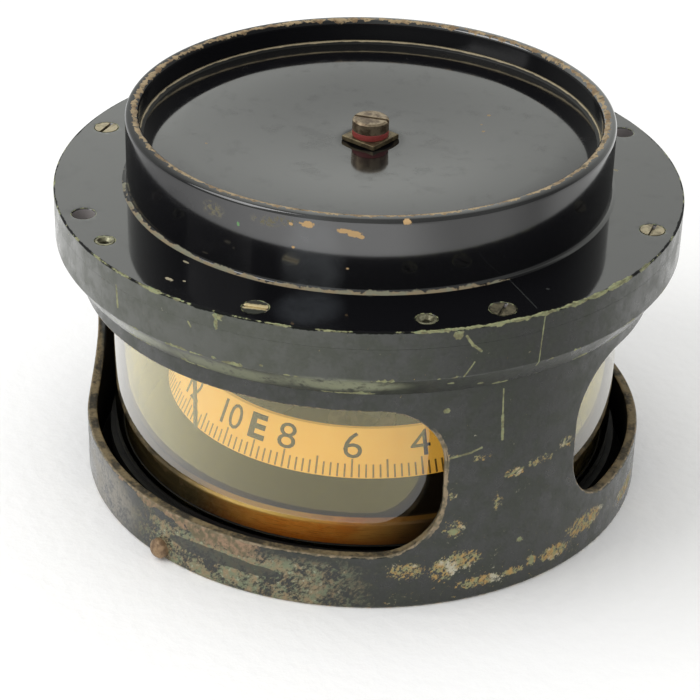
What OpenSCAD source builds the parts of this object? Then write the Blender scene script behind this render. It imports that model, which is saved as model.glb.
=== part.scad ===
// Vertical-card aircraft compass. A glass bowl hangs by its head in a windowed guard cage, and the
// card turns and tilts on a point pivot inside it. Millimetres; the cage stands on z = 0 and the
// lubber line faces -Y. Angles round the axis are counted from -Y towards +X.

/* [Flange] */
// outer diameter of the flange
flange_d = 140; // [120:0.5:160]
// reach of the flange past the guard cage
flange_overhang = 5.5; // [4.5:0.1:8]
// height of the flange's upright side
flange_side_h = 11.3; // [10.5:0.1:15]
// height of the chamfer below the side
flange_chamfer_h = 5.2; // [3:0.1:7]
// width of that chamfer
flange_chamfer_w = 3.5; // [1.5:0.1:4]
// thickness of the head's flange plate
flange_plate_t = 4; // [3:0.1:5]
// small chamfer that breaks the sharp edges
edge_break = 0.5; // [0.2:0.1:0.8]

/* [Guard cage] */
// wall thickness of the guard cage
cage_wall = 2.3; // [1.6:0.1:2.6]
// height from the table to the flange underside
cage_h = 55; // [52:0.5:64]
// height of the solid base band below the windows
base_band_h = 13.4; // [9:0.2:15]
// height of the band left above the windows
top_band_h = 5.5; // [3:0.1:9]
// corner radius of the windows
window_corner_r = 14; // [6:0.5:16]
// angle that the front window opens
front_window_angle = 116; // [90:1:130]
// angle that each of the three posts covers
post_angle = 30; // [20:1:40]

/* [Neck and cover] */
// outer diameter of the neck
neck_d = 107.8; // [105.5:0.1:112]
// wall thickness of the neck
neck_wall = 3; // [2:0.1:3.5]
// height of the neck above the flange
neck_h = 16.6; // [13:0.2:22]
// width of the neck's shoulder that stands on the flange
neck_shoulder = 1.2; // [0.8:0.1:1.6]
// depth of the neck's spigot in the flange plate
neck_spigot_h = 3; // [2:0.1:3.4]
// rounding of the worn rim, as a chamfer
rim_break = 0.7; // [0.3:0.1:0.9]
// depth of the cover's edge below the rim
cover_depth = 5.7; // [5:0.1:8]
// thickness of the cover at its edge
cover_t = 3.2; // [2.6:0.1:4]
// width of the ledge that the cover rests on
cover_ledge = 1.5; // [1:0.1:2]
// diameter of the shallow dish in the cover
dish_d = 72; // [50:1:90]
// depth of that dish
dish_depth = 1.7; // [0.8:0.1:1.9]
// depth of the chamber's floor below the flange plate
chamber_step = 1.5; // [1:0.1:2.5]

/* [Filler] */
// side of the square filler boss
boss_side = 9; // [8.2:0.1:12]
// thickness of the boss above the cover
boss_t = 1.1; // [0.8:0.1:1.5]
// turn of the boss about its axis
boss_turn = 4; // [0:1:45]
// diameter of the boss's spigot through the cover
boss_spigot_d = 7; // [6:0.1:7.6]
// length of that spigot below the cover
boss_tail = 1; // [0.5:0.1:2]
// width of the flat land round the boss
boss_land = 0.5; // [0.3:0.1:2]
// diameter of the fibre washer and of the plug's head
plug_head_d = 8.1; // [7:0.1:9]
// thickness of the fibre washer
washer_t = 1.5; // [0.8:0.1:1.6]
// height of the plug's head
plug_head_h = 2.6; // [2:0.1:2.7]
// diameter of the plug's shank
plug_d = 4.5; // [3.5:0.1:5]
// length of the plug's shank below its head
plug_len = 5; // [3.5:0.1:5.2]
// width of the plug's slot
plug_slot_w = 0.9; // [0.6:0.1:1.2]
// depth of the plug's slot
plug_slot_depth = 1; // [0.6:0.1:1.4]
// turn of the plug's slot from +X
plug_slot_turn = 27; // [0:1:180]
// chamfer round the plug's head
plug_chamfer = 0.4; // [0.2:0.1:0.6]

/* [Flange fixings] */
// distance of all flange fixings from the flange's edge
fixing_inset = 5; // [4:0.1:6]
// head diameter of the countersunk screws
screw_head_d = 5.4; // [5:0.1:6]
// thread diameter of the screws
screw_d = 2.8; // [2.4:0.1:3.2]
// length of the screws
screw_len = 10; // [7:0.1:11]
// width of the screw slots
screw_slot_w = 0.7; // [0.5:0.1:0.9]
// depth of the screw slots
screw_slot_depth = 0.7; // [0.4:0.1:0.9]
// depth of the screw holes past the screws' ends
screw_run_out = 0.3; // [0.1:0.1:1]
// diameter of the two plain blind holes
blind_hole_d = 4.9; // [4.5:0.1:5.4]
// depth of the blind holes
blind_hole_depth = 10; // [8:0.1:10.5]
// angle of the front blind hole
blind_hole_front = -27.8; // [-32:0.1:-27]
// outer diameter of the dowel bushes
bush_d = 4.2; // [3.6:0.1:4.6]
// bore of the dowel bushes
bush_bore_d = 1.8; // [1.2:0.1:2.2]
// diameter of the bushes' countersunk mouth
bush_mouth_d = 3.2; // [2.6:0.1:3.4]
// length of the dowel bushes
bush_len = 7; // [5.5:0.1:9]
// angles of the two bushes
bush_angles = [-15.8, 53.2];

/* [Index peg] */
// head diameter of the index peg
peg_d = 4.6; // [4:0.1:5]
// projection of the peg from the base
peg_projection = 2.4; // [1.8:0.1:3]
// height of the peg's axis above the table
peg_z = 2.7; // [2.6:0.1:5]
// diameter of the peg's shank through the wall
peg_shank_d = 2.6; // [2:0.1:3]
// depth of the spot face that the peg's head sits in
peg_seat = 0.3; // [0.1:0.1:0.6]
// length of the peg's riveted tail inside the cage
peg_tail = 0.1; // [0.1:0.1:1]
// height of the dome on the peg's head
peg_dome = 1.4; // [0.8:0.1:1.7]

/* [Bowl] */
// gap between the glass and the guard cage
glass_gap = 4.3; // [3.7:0.1:6]
// wall thickness of the glass
glass_wall = 2; // [1.6:0.1:2.4]
// height of the head's skirt below its flange plate
skirt_h = 11.5; // [10:0.1:12.4]
// wall left outside the glass groove
skirt_wall = 1.7; // [1.2:0.1:2]
// wall left inside the glass groove
lip_wall = 3.4; // [2.4:0.1:3.8]
// depth of the glass groove
groove_depth = 4; // [3:0.1:5]
// thickness of the gaskets
gasket_t = 0.8; // [0.6:0.1:1.2]
// height of the lower ring's spigot inside the glass
spigot_h = 6.3; // [4:0.1:7]
// wall thickness of that spigot
spigot_wall = 2.9; // [2:0.1:3.4]
// thickness of the lower ring's flange
ring_flange_t = 2.8; // [2.4:0.1:3.4]
// reach of the lower ring's flange past the glass
ring_reach = 1.3; // [0.8:0.1:1.6]
// thickness of the base plate
base_plate_t = 2; // [1.6:0.1:2.4]
// height of the base plate above the table
base_gap = 4; // [3.8:0.1:5]
// thread diameter of the base screws
base_screw_d = 2; // [1.6:0.1:2.2]
// head diameter of the base screws
base_screw_head_d = 3.8; // [3.4:0.1:4]
// length of the base screws
base_screw_len = 4.8; // [4.2:0.1:5]
// width and depth of the base screws' slots
base_screw_slot = 0.5; // [0.4:0.1:0.7]
// distance of the base screws from the lower ring's edge
base_screw_inset = 2.45; // [2.1:0.05:2.8]
// number of base screws
base_screw_count = 8; // [6:1:12]

/* [Expansion chamber] */
// thickness of the baffle plate
baffle_t = 1.2; // [0.8:0.1:1.6]
// height of the ring below the baffle plate
baffle_ring_h = 2; // [1.4:0.1:3]
// width of the ring below the baffle plate
baffle_ring_w = 2.5; // [1.8:0.1:4]
// diameter of the vent in the baffle plate
vent_d = 6; // [3:0.5:10]

/* [Lubber line] */
// diameter of the lubber wire
lubber_d = 0.9; // [0.6:0.1:1.2]
// height of the wire's lower end
lubber_z = 29; // [26:0.5:36]
// length of wire held in the head
lubber_seat = 5; // [3:0.1:7]

/* [Pivot] */
// height of the pivot point
pivot_z = 32; // [31:0.2:33]
// diameter of the pillar's column at its foot
pillar_d = 8; // [6:0.1:9]
// diameter of the pillar's top
pillar_top_d = 4.4; // [3.6:0.1:5]
// diameter of the pillar's foot
pillar_foot_d = 16; // [12:0.5:20]
// thickness of the pillar's foot
pillar_foot_t = 2; // [1.4:0.1:3]
// diameter of the pillar's stud
stud_d = 6; // [4:0.1:6.4]
// diameter of the washer on the stud
stud_washer_d = 11; // [10:0.1:14]
// thickness of that washer
stud_washer_t = 0.6; // [0.4:0.1:0.8]
// width across the nut's flats
nut_af = 10; // [9:0.1:11]
// thickness of the nut
nut_t = 2.4; // [1.8:0.1:2.5]
// length of stud that stands out of the nut
stud_end = 0.3; // [0:0.1:0.8]
// diameter of the pivot pin
pin_d = 1.4; // [1.2:0.1:1.5]
// length of the pin above the pillar
pin_exposed = 9; // [8.6:0.1:10]
// length of the pin inside the pillar
pin_seat = 6; // [4:0.1:8]
// height of the pin's point
pin_point_h = 1.6; // [1.4:0.1:1.9]
// diameter of the blunted point
pin_point_d = 0.08; // [0.04:0.01:0.2]

/* [Bearing] */
// radius of the ball-shaped jewel about the pivot point
jewel_r = 2.2; // [2:0.05:2.4]
// depth of the jewel below the pivot point
jewel_low = 1.1; // [0.9:0.05:1.2]
// half angle of the recess in the jewel
jewel_recess_angle = 40; // [38:1:42]
// diameter of the jewel holder
holder_d = 8; // [7.4:0.1:9]
// diameter of the holder's collar
holder_collar_d = 10.4; // [9.6:0.1:12]
// thickness of the holder's collar
holder_collar_t = 1; // [0.8:0.1:1.2]
// depth of the holder below the pivot point
holder_low = 5.4; // [5:0.1:5.6]
// height of the holder above the pivot point
holder_high = 3.4; // [3:0.1:3.8]
// diameter of the bore below the jewel
holder_bore_d = 4.2; // [4.1:0.05:4.3]
// diameter of that bore's flared mouth
holder_mouth_d = 6; // [5:0.1:6.4]

/* [Float] */
// diameter of the float
float_d = 48; // [44:0.5:54]
// height of the float's dome
dome_h = 11; // [10.6:0.1:14]
// skin of the dome
dome_skin = 0.7; // [0.5:0.1:1]
// thickness of the float's floor
floor_t = 0.8; // [0.6:0.1:1]
// wall of the well over the jewel holder
well_wall = 0.7; // [0.5:0.1:1]

/* [Card] */
// outer diameter of the card's lower edge
card_d = 91; // [86:0.5:96]
// lean of the card's face from upright
card_slope = 25; // [18:1:28]
// wall thickness of the card
card_wall = 0.8; // [0.6:0.1:1.2]
// height of the card
card_h = 9.9; // [9.2:0.1:11.5]
// height of the card's lower edge
card_z = 20.9; // [19.9:0.2:22.1]
// reading under the lubber line
card_heading = 100; // [0:1:359]
// number of spider arms
spider_arms = 6; // [3:1:8]
// width of the spider's arms and rim
arm_w = 3; // [2:0.1:4]
// thickness of the spider
arm_t = 0.8; // [0.6:0.1:1]
// width of the spider's ring under the float
spider_ring_w = 10; // [7:0.5:12]
// height of the tabs that hold the card
tab_h = 5; // [3:0.1:5.6]
// thickness of those tabs
tab_t = 0.9; // [0.6:0.1:1.2]

/* [Magnets] */
// side of the square magnet bars
magnet_side = 3; // [2:0.1:3.4]
// length of the inner magnet bars
magnet_len = 40; // [34:0.5:42]
// distance of the inner bars from the axis
magnet_offset = 10; // [9:0.1:11]
// distance between inner and outer bars
magnet_step = 6; // [5:0.1:7]
// how much shorter the outer bars are
magnet_shorter = 8; // [0:0.5:10]
// width of the bars' cross carriers
carrier_w = 4; // [3:0.1:5]
// thickness of the cross carriers
carrier_t = 1.5; // [1:0.1:1.8]
// distance of the carriers from the axis
carrier_offset = 12; // [10:0.1:13]

/* [Fits] */
// radial clearance of fixed pieces in their seats
seat_clear = 0.05; // [0.02:0.01:0.08]
// radial clearance of the skirt in the cage's ring
skirt_clear = 0.3; // [0.2:0.05:0.5]
// radial clearance of the glass in its groove
groove_clear = 0.5; // [0.4:0.05:0.6]
// radial clearance of the spigot in the glass
spigot_clear = 0.4; // [0.3:0.05:0.6]
// running clearance of the bearing
running_clear = 0.05; // [0.03:0.01:0.08]
// clearance above and below turning faces
face_clear = 0.1; // [0.06:0.01:0.15]

/* [Hidden] */
$fn = 96;

ENAMEL = [0.05, 0.05, 0.055];
BRASS = [0.55, 0.43, 0.22];
LACQUER = [0.50, 0.25, 0.07];
FIBRE = [0.45, 0.10, 0.08];
GASKET = [0.12, 0.10, 0.08];
STEEL = [0.50, 0.50, 0.52];
AMBER = [0.80, 0.52, 0.12];

fixing_places = 8;
fixing_step = 360 / fixing_places;
blind_hole_rear = 3.5 * fixing_step;
screw_slot_turns = [23, 128, 112, 0, 60, 150, 100, 0];
overcut = 1;

flange_r = flange_d / 2;
fixing_r = flange_r - fixing_inset;
cage_r = flange_r - flange_overhang;
cage_ri = cage_r - cage_wall;
window_top = cage_h - top_band_h;
window_h = window_top - base_band_h;
window_r = min(window_corner_r, 0.45 * window_h);
window_ease = 0.03;
rear_window_angle = (360 - front_window_angle - 3 * post_angle) / 2;
rear_window_mid = front_window_angle / 2 + post_angle + rear_window_angle / 2;

flange_top = cage_h + flange_chamfer_h + flange_side_h;
plate_z = flange_top - flange_plate_t;

neck_r = neck_d / 2;
neck_ri = neck_r - neck_wall;
neck_spigot_r = neck_r - neck_shoulder;
neck_foot_z = flange_top - neck_spigot_h;
rim_z = flange_top + neck_h;
cover_edge_z = rim_z - cover_depth;
cover_low_z = cover_edge_z - cover_t;
dish_z = cover_edge_z - dish_depth;
dish_sphere_r = (pow(dish_d / 2, 2) + pow(dish_depth, 2)) / (2 * dish_depth);
boss_top_z = dish_z + boss_t;
boss_low_z = cover_low_z - boss_tail;
boss_land_d = boss_side * sqrt(2) + 2 * boss_land;
plug_seat_z = boss_top_z + washer_t;

glass_r = cage_ri - glass_gap;
glass_ri = glass_r - glass_wall;
skirt_z = plate_z - skirt_h;
groove_ri = glass_ri - groove_clear;
groove_ro = glass_r + groove_clear;
groove_top = skirt_z + groove_depth;
skirt_r = groove_ro + skirt_wall;
head_bore_r = groove_ri - lip_wall;
chamber_z = plate_z - chamber_step;
chamber_r = neck_ri - cover_ledge;

plate_top_z = base_gap + base_plate_t;
ring_z = plate_top_z + gasket_t;
ring_flange_z = ring_z + ring_flange_t;
ring_r = glass_r + ring_reach;
spigot_r = glass_ri - spigot_clear;
ring_ri = spigot_r - spigot_wall;
glass_z = ring_flange_z + gasket_t;
glass_top = groove_top - gasket_t;
base_screw_r = ring_r - base_screw_inset;
base_screw_hole = base_screw_len + screw_run_out;

lubber_r = (head_bore_r + groove_ri) / 2;

pillar_top_z = pivot_z - pin_exposed;
stud_low_z = base_gap - stud_washer_t - nut_t - stud_end;
jewel_recess_h = jewel_low + running_clear;

holder_low_z = pivot_z - holder_low;
floor_z = holder_low_z + holder_collar_t + face_clear;
floor_top_z = floor_z + floor_t;
well_r = holder_d / 2 + running_clear;
well_top_z = pivot_z + holder_high + face_clear;
float_r = float_d / 2;
dome_sphere_r = (pow(float_r, 2) + pow(dome_h, 2)) / (2 * dome_h);
dome_centre_z = floor_top_z + dome_h - dome_sphere_r;

card_r = card_d / 2;
card_inset = card_wall / cos(card_slope);
spider_z = floor_z - arm_t;
spider_ri = float_r - spider_ring_w;
tab_z = spider_z - tab_h / 2;
carrier_z = spider_z - carrier_t;
carrier_reach = magnet_offset + magnet_step + carrier_w / 2;
magnet_z = carrier_z - magnet_side;

module at_fixing(angle) rotate(angle) translate([0, -fixing_r, 0]) children();

module tube(ro, ri, z, h) difference() {
    translate([0, 0, z]) cylinder(r = ro, h = h);
    translate([0, 0, z - overcut]) cylinder(r = ri, h = h + 2 * overcut);
}

// a countersunk screw with its head's flat at z = 0, running down
module countersunk_screw(head_d, d, len, slot_w, slot_depth) difference() {
    union() {
        translate([0, 0, -(head_d - d) / 2]) cylinder(d1 = d, d2 = head_d, h = (head_d - d) / 2);
        translate([0, 0, -len]) cylinder(d = d, h = len - (head_d - d) / 4);
    }
    translate([-head_d, -slot_w / 2, -slot_depth]) cube([2 * head_d, slot_w, slot_depth + overcut]);
}

// the hole for that screw: its cone, and a bore with clearance
module countersunk_hole(head_d, d, depth) {
    translate([0, 0, -(head_d - d) / 2]) cylinder(d1 = d, d2 = head_d, h = (head_d - d) / 2);
    cylinder(d = head_d, h = overcut);
    translate([0, 0, -depth]) cylinder(d = d + 2 * seat_clear, h = depth - (head_d - d) / 4);
}

module at_flange_screws() for (i = [0 : fixing_places - 1]) if (i % 4 != 3)
    at_fixing((i + 0.5) * fixing_step) translate([0, 0, flange_top])
        rotate(screw_slot_turns[i]) children();

module at_base_screws() for (i = [0 : base_screw_count - 1])
    rotate((i + 0.5) * 360 / base_screw_count) translate([0, -base_screw_r, base_gap])
        mirror([0, 0, 1]) children();

// every hole that goes down through the flange plate into the cage's ring
module flange_holes() {
    at_flange_screws() countersunk_hole(screw_head_d, screw_d, screw_len + screw_run_out);
    for (a = [blind_hole_front, blind_hole_rear]) at_fixing(a)
        translate([0, 0, flange_top - blind_hole_depth])
            cylinder(d = blind_hole_d, h = blind_hole_depth + overcut);
    for (a = bush_angles) at_fixing(a)
        translate([0, 0, flange_top - bush_len])
            cylinder(d = bush_d + 2 * seat_clear, h = bush_len + overcut);
}

// a window with rounded corners, cut radially through the wall
module window_cut(mid, width) {
    end = width / 2 - asin(window_r / cage_r);
    cut = cage_wall + 2 * overcut + 2;
    rotate(mid - end - 90) rotate_extrude(angle = 2 * end)
        translate([cage_ri - 2, base_band_h]) square([cut, window_h]);
    for (side = [-1, 1]) rotate(mid + side * end) translate([0, -cage_r - overcut, base_band_h]) {
        translate([-window_r, 0, window_r])
            cube([2 * window_r, cut, window_h - 2 * window_r]);
        for (z = [window_r, window_h - window_r])
            translate([0, 0, z]) rotate([-90, 0, 0]) cylinder(r = window_r + window_ease, h = cut);
    }
}

module peg_frame() translate([0, -cage_r + peg_seat, peg_z]) rotate([90, 0, 0]) children();

// the guard: base band, posts, top band and the chamfered ring under the flange, in one piece
module guard_cage() color(ENAMEL) difference() {
    rotate_extrude() polygon([
        [cage_ri, 0], [cage_r - edge_break, 0], [cage_r, edge_break], [cage_r, cage_h],
        [flange_r - flange_chamfer_w, cage_h], [flange_r, cage_h + flange_chamfer_h],
        [flange_r, plate_z], [skirt_r + skirt_clear, plate_z],
        [skirt_r + skirt_clear, cage_h], [cage_ri, cage_h]]);
    window_cut(0, front_window_angle);
    for (side = [-1, 1]) window_cut(side * rear_window_mid, rear_window_angle);
    flange_holes();
    peg_frame() {
        cylinder(d = peg_d + 2 * seat_clear, h = peg_seat + overcut);
        translate([0, 0, -cage_wall - overcut])
            cylinder(d = peg_shank_d + 2 * seat_clear, h = cage_wall + 2 * overcut);
    }
}

// the head: flange plate and the skirt with the groove that holds the glass
module bowl_head() color(ENAMEL) difference() {
    rotate_extrude() polygon([
        [head_bore_r, skirt_z], [groove_ri, skirt_z], [groove_ri, groove_top], [groove_ro, groove_top],
        [groove_ro, skirt_z], [skirt_r, skirt_z], [skirt_r, plate_z], [flange_r, plate_z],
        [flange_r, flange_top - edge_break], [flange_r - edge_break, flange_top],
        [neck_spigot_r + seat_clear, flange_top], [neck_spigot_r + seat_clear, neck_foot_z - face_clear],
        [chamber_r, neck_foot_z - face_clear], [chamber_r, chamber_z], [head_bore_r, chamber_z]]);
    flange_holes();
    translate([0, -lubber_r, skirt_z - overcut])
        cylinder(d = lubber_d + 2 * seat_clear, h = lubber_seat + overcut, $fn = 24);
}

// the neck: a ring with a ledge for the cover, its spigot sweated into the flange plate
module neck_ring() color(ENAMEL) rotate_extrude() polygon([
    [chamber_r, neck_foot_z], [neck_spigot_r, neck_foot_z], [neck_spigot_r, flange_top],
    [neck_r, flange_top], [neck_r, rim_z - rim_break], [neck_r - rim_break, rim_z],
    [neck_ri + rim_break, rim_z], [neck_ri, rim_z - rim_break], [neck_ri, cover_low_z],
    [chamber_r, cover_low_z]]);

// the recessed cover, with a shallow dish and a flat land for the boss
module cover_plate() color(ENAMEL) difference() {
    translate([0, 0, cover_low_z]) cylinder(r = neck_ri - seat_clear, h = cover_t);
    translate([0, 0, dish_z + dish_sphere_r]) sphere(r = dish_sphere_r, $fn = 240);
    translate([0, 0, dish_z]) cylinder(d = boss_land_d, h = cover_t);
    translate([0, 0, cover_low_z - overcut])
        cylinder(d = boss_spigot_d + 2 * seat_clear, h = cover_t + 2 * overcut);
}

module filler_boss() color(BRASS) difference() {
    union() {
        rotate(boss_turn) translate([-boss_side / 2, -boss_side / 2, dish_z])
            cube([boss_side, boss_side, boss_t]);
        translate([0, 0, boss_low_z]) cylinder(d = boss_spigot_d, h = dish_z - boss_low_z + boss_t / 2);
    }
    translate([0, 0, boss_low_z - overcut])
        cylinder(d = plug_d + 2 * seat_clear, h = boss_top_z - boss_low_z + 2 * overcut);
}

module filler_washer() color(FIBRE) tube(plug_head_d / 2, plug_d / 2 + seat_clear, boss_top_z, washer_t);

module filler_plug() color(BRASS) difference() {
    union() {
        translate([0, 0, plug_seat_z]) cylinder(d = plug_head_d, h = plug_head_h - plug_chamfer);
        translate([0, 0, plug_seat_z + plug_head_h - plug_chamfer])
            cylinder(d1 = plug_head_d, d2 = plug_head_d - 2 * plug_chamfer, h = plug_chamfer);
        translate([0, 0, plug_seat_z - plug_len]) cylinder(d = plug_d, h = plug_len + plug_head_h / 2);
    }
    rotate(plug_slot_turn)
        translate([-plug_head_d, -plug_slot_w / 2, plug_seat_z + plug_head_h - plug_slot_depth])
            cube([2 * plug_head_d, plug_slot_w, plug_slot_depth + overcut]);
}

module flange_screws() color(BRASS) at_flange_screws()
    countersunk_screw(screw_head_d, screw_d, screw_len, screw_slot_w, screw_slot_depth);

module dowel_bushes() color(BRASS) for (a = bush_angles) at_fixing(a) difference() {
    translate([0, 0, flange_top - bush_len]) cylinder(d = bush_d, h = bush_len);
    translate([0, 0, flange_top - bush_len - overcut]) cylinder(d = bush_bore_d, h = bush_len + 2 * overcut);
    translate([0, 0, flange_top - (bush_mouth_d - bush_bore_d) / 2])
        cylinder(d1 = bush_bore_d, d2 = bush_mouth_d, h = (bush_mouth_d - bush_bore_d) / 2);
    translate([0, 0, flange_top]) cylinder(d = bush_mouth_d, h = overcut);
}

// a domed rivet through the base band, on the fore-and-aft line
module index_peg() color(BRASS) {
    straight = peg_projection + peg_seat - peg_dome;
    sphere_r = (pow(peg_d / 2, 2) + pow(peg_dome, 2)) / (2 * peg_dome);
    shank = cage_wall - peg_seat + peg_tail;
    peg_frame() {
        intersection() {
            cylinder(d = peg_d, h = straight + peg_dome + overcut);
            translate([0, 0, straight + peg_dome - sphere_r]) sphere(r = sphere_r);
        }
        translate([0, 0, -shank]) cylinder(d = peg_shank_d, h = shank + straight);
    }
}

module bowl_glass() color([0.75, 0.85, 0.80, 0.3]) tube(glass_r, glass_ri, glass_z, glass_top - glass_z);

module upper_gasket() color(GASKET) tube(glass_r, glass_ri, glass_top, gasket_t);

module lower_gasket() color(GASKET) tube(glass_r, glass_ri, ring_flange_z, gasket_t);

// the ring at the foot of the glass: a flange below it and a spigot inside it
module lower_ring() color(LACQUER) difference() {
    rotate_extrude() polygon([
        [ring_ri, ring_z], [ring_r, ring_z], [ring_r, ring_flange_z], [spigot_r, ring_flange_z],
        [spigot_r, ring_flange_z + spigot_h - edge_break], [spigot_r - edge_break, ring_flange_z + spigot_h],
        [ring_ri, ring_flange_z + spigot_h]]);
    at_base_screws() translate([0, 0, -base_screw_hole])
        cylinder(d = base_screw_d + 2 * seat_clear, h = base_screw_hole, $fn = 24);
}

module base_gasket() color(GASKET) difference() {
    tube(ring_r, ring_ri, plate_top_z, gasket_t);
    at_base_screws() translate([0, 0, -base_plate_t - gasket_t - overcut])
        cylinder(d = base_screw_d + 2 * seat_clear, h = gasket_t + 2 * overcut, $fn = 24);
}

module base_plate() color(BRASS) difference() {
    translate([0, 0, base_gap]) cylinder(r = ring_r, h = base_plate_t);
    translate([0, 0, base_gap - overcut])
        cylinder(d = stud_d + 2 * seat_clear, h = base_plate_t + 2 * overcut);
    at_base_screws() countersunk_hole(base_screw_head_d, base_screw_d, base_plate_t + overcut, $fn = 32);
}

module base_screws() color(BRASS) at_base_screws() countersunk_screw(
    base_screw_head_d, base_screw_d, base_screw_len, base_screw_slot, base_screw_slot, $fn = 32);

// the floor of the expansion chamber, held against a shoulder by a threaded ring
module baffle_plate() color(BRASS)
    tube(head_bore_r - seat_clear, vent_d / 2, chamber_z - baffle_t, baffle_t);

module baffle_ring() color(BRASS)
    tube(head_bore_r - seat_clear, head_bore_r - baffle_ring_w,
        chamber_z - baffle_t - baffle_ring_h, baffle_ring_h);

module lubber_wire() color(ENAMEL) translate([0, -lubber_r, lubber_z])
    cylinder(d = lubber_d, h = skirt_z + lubber_seat - lubber_z, $fn = 24);

module pivot_pillar() color(BRASS) difference() {
    union() {
        translate([0, 0, stud_low_z]) cylinder(d = stud_d, h = plate_top_z - stud_low_z + pillar_foot_t);
        translate([0, 0, plate_top_z]) cylinder(d = pillar_foot_d, h = pillar_foot_t);
        translate([0, 0, plate_top_z + pillar_foot_t])
            cylinder(d1 = pillar_d, d2 = pillar_top_d, h = pillar_top_z - plate_top_z - pillar_foot_t);
    }
    translate([0, 0, pillar_top_z - pin_seat])
        cylinder(d = pin_d + 2 * seat_clear, h = pin_seat + overcut, $fn = 24);
}

module pillar_washer() color(BRASS)
    tube(stud_washer_d / 2, stud_d / 2 + seat_clear, base_gap - stud_washer_t, stud_washer_t);

module pillar_nut() color(BRASS) difference() {
    translate([0, 0, base_gap - stud_washer_t - nut_t]) cylinder(d = nut_af / cos(30), h = nut_t, $fn = 6);
    translate([0, 0, base_gap - stud_washer_t - nut_t - overcut])
        cylinder(d = stud_d + 2 * seat_clear, h = nut_t + 2 * overcut);
}

module pivot_pin() color(STEEL) {
    translate([0, 0, pillar_top_z - pin_seat])
        cylinder(d = pin_d, h = pin_seat + pin_exposed - pin_point_h, $fn = 24);
    translate([0, 0, pivot_z - pin_point_h])
        cylinder(d1 = pin_d, d2 = pin_point_d, h = pin_point_h, $fn = 24);
}

// the jewel: a ball about the pivot point, cut off below and recessed for the pin
module jewel_cup() color(STEEL) difference() {
    translate([0, 0, pivot_z]) sphere(r = jewel_r, $fn = 48);
    translate([-jewel_r * 2, -jewel_r * 2, pivot_z - jewel_low - jewel_r * 2])
        cube([jewel_r * 4, jewel_r * 4, jewel_r * 2]);
    translate([0, 0, pivot_z - jewel_low - 0.001])
        cylinder(r1 = jewel_recess_h * tan(jewel_recess_angle), r2 = 0, h = jewel_recess_h, $fn = 48);
}

module jewel_holder() color(BRASS) difference() {
    union() {
        translate([0, 0, holder_low_z]) cylinder(d = holder_d, h = holder_low + holder_high);
        translate([0, 0, holder_low_z]) cylinder(d = holder_collar_d, h = holder_collar_t);
    }
    translate([0, 0, pivot_z]) sphere(r = jewel_r + running_clear, $fn = 48);
    translate([0, 0, holder_low_z - overcut]) cylinder(d = holder_bore_d, h = holder_low + overcut);
    translate([0, 0, holder_low_z - 0.001])
        cylinder(d1 = holder_mouth_d, d2 = holder_bore_d, h = holder_low / 2);
}

// everything on the card turns with its reading
module on_card() rotate(card_heading) children();

module float_dome() color(ENAMEL) difference() {
    translate([0, 0, dome_centre_z]) sphere(r = dome_sphere_r);
    translate([0, 0, dome_centre_z]) sphere(r = dome_sphere_r - dome_skin);
    translate([-2 * float_d, -2 * float_d, floor_top_z - 4 * float_d])
        cube([4 * float_d, 4 * float_d, 4 * float_d]);
}

// the float's floor, with a closed well over the jewel holder
module float_floor() color(ENAMEL) rotate_extrude() polygon([
    [well_r, floor_z], [float_r, floor_z], [float_r, floor_top_z], [well_r + well_wall, floor_top_z],
    [well_r + well_wall, well_top_z + well_wall], [0, well_top_z + well_wall], [0, well_top_z],
    [well_r, well_top_z]]);

// the cone of the card's face, drawn in by some distance, between two heights
module card_cone(inset, low, high) translate([0, 0, low]) cylinder(
    r1 = card_r - inset - (low - card_z) * tan(card_slope),
    r2 = card_r - inset - (high - card_z) * tan(card_slope), h = high - low);

module card_spider() color(ENAMEL) {
    tube(float_r, spider_ri, spider_z, arm_t);
    on_card() intersection() {
        for (i = [0 : spider_arms - 1]) rotate((i + 0.5) * 360 / spider_arms) {
            translate([-arm_w / 2, -card_r, spider_z]) cube([arm_w, card_r - spider_ri - arm_w / 2, arm_t]);
            difference() {
                translate([-arm_w / 2, -card_r, tab_z]) cube([arm_w, card_r / 2, tab_h]);
                card_cone(card_inset + tab_t, tab_z - overcut, tab_z + tab_h + overcut);
            }
        }
        card_cone(card_inset, tab_z - overcut, tab_z + tab_h + overcut);
    }
}

// the card: a band that leans in towards its top, so that it is read from above
module card_ring() color(AMBER) on_card() difference() {
    card_cone(0, card_z, card_z + card_h);
    card_cone(card_inset, card_z - overcut, card_z + card_h + overcut);
}

module magnet_carrier() color(BRASS) on_card() for (side = [-1, 1])
    translate([-carrier_reach, side * carrier_offset - carrier_w / 2, carrier_z])
        cube([2 * carrier_reach, carrier_w, carrier_t]);

module magnet_bars() color(STEEL) on_card() for (side = [-1, 1], i = [0, 1]) {
    len = magnet_len - magnet_shorter * i;
    translate([side * (magnet_offset + i * magnet_step) - magnet_side / 2, -len / 2, magnet_z])
        cube([magnet_side, len, magnet_side]);
}

guard_cage();
bowl_head();
neck_ring();
cover_plate();
filler_boss();
filler_washer();
filler_plug();
flange_screws();
dowel_bushes();
index_peg();
bowl_glass();
upper_gasket();
lower_gasket();
lower_ring();
base_gasket();
base_plate();
base_screws();
baffle_plate();
baffle_ring();
lubber_wire();
pivot_pillar();
pillar_washer();
pillar_nut();
pivot_pin();
jewel_cup();
jewel_holder();
float_dome();
float_floor();
card_spider();
card_ring();
magnet_carrier();
magnet_bars();
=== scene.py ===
import math

import bmesh
import bpy
import numpy as np
from mathutils import Matrix, Vector, geometry


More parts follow.
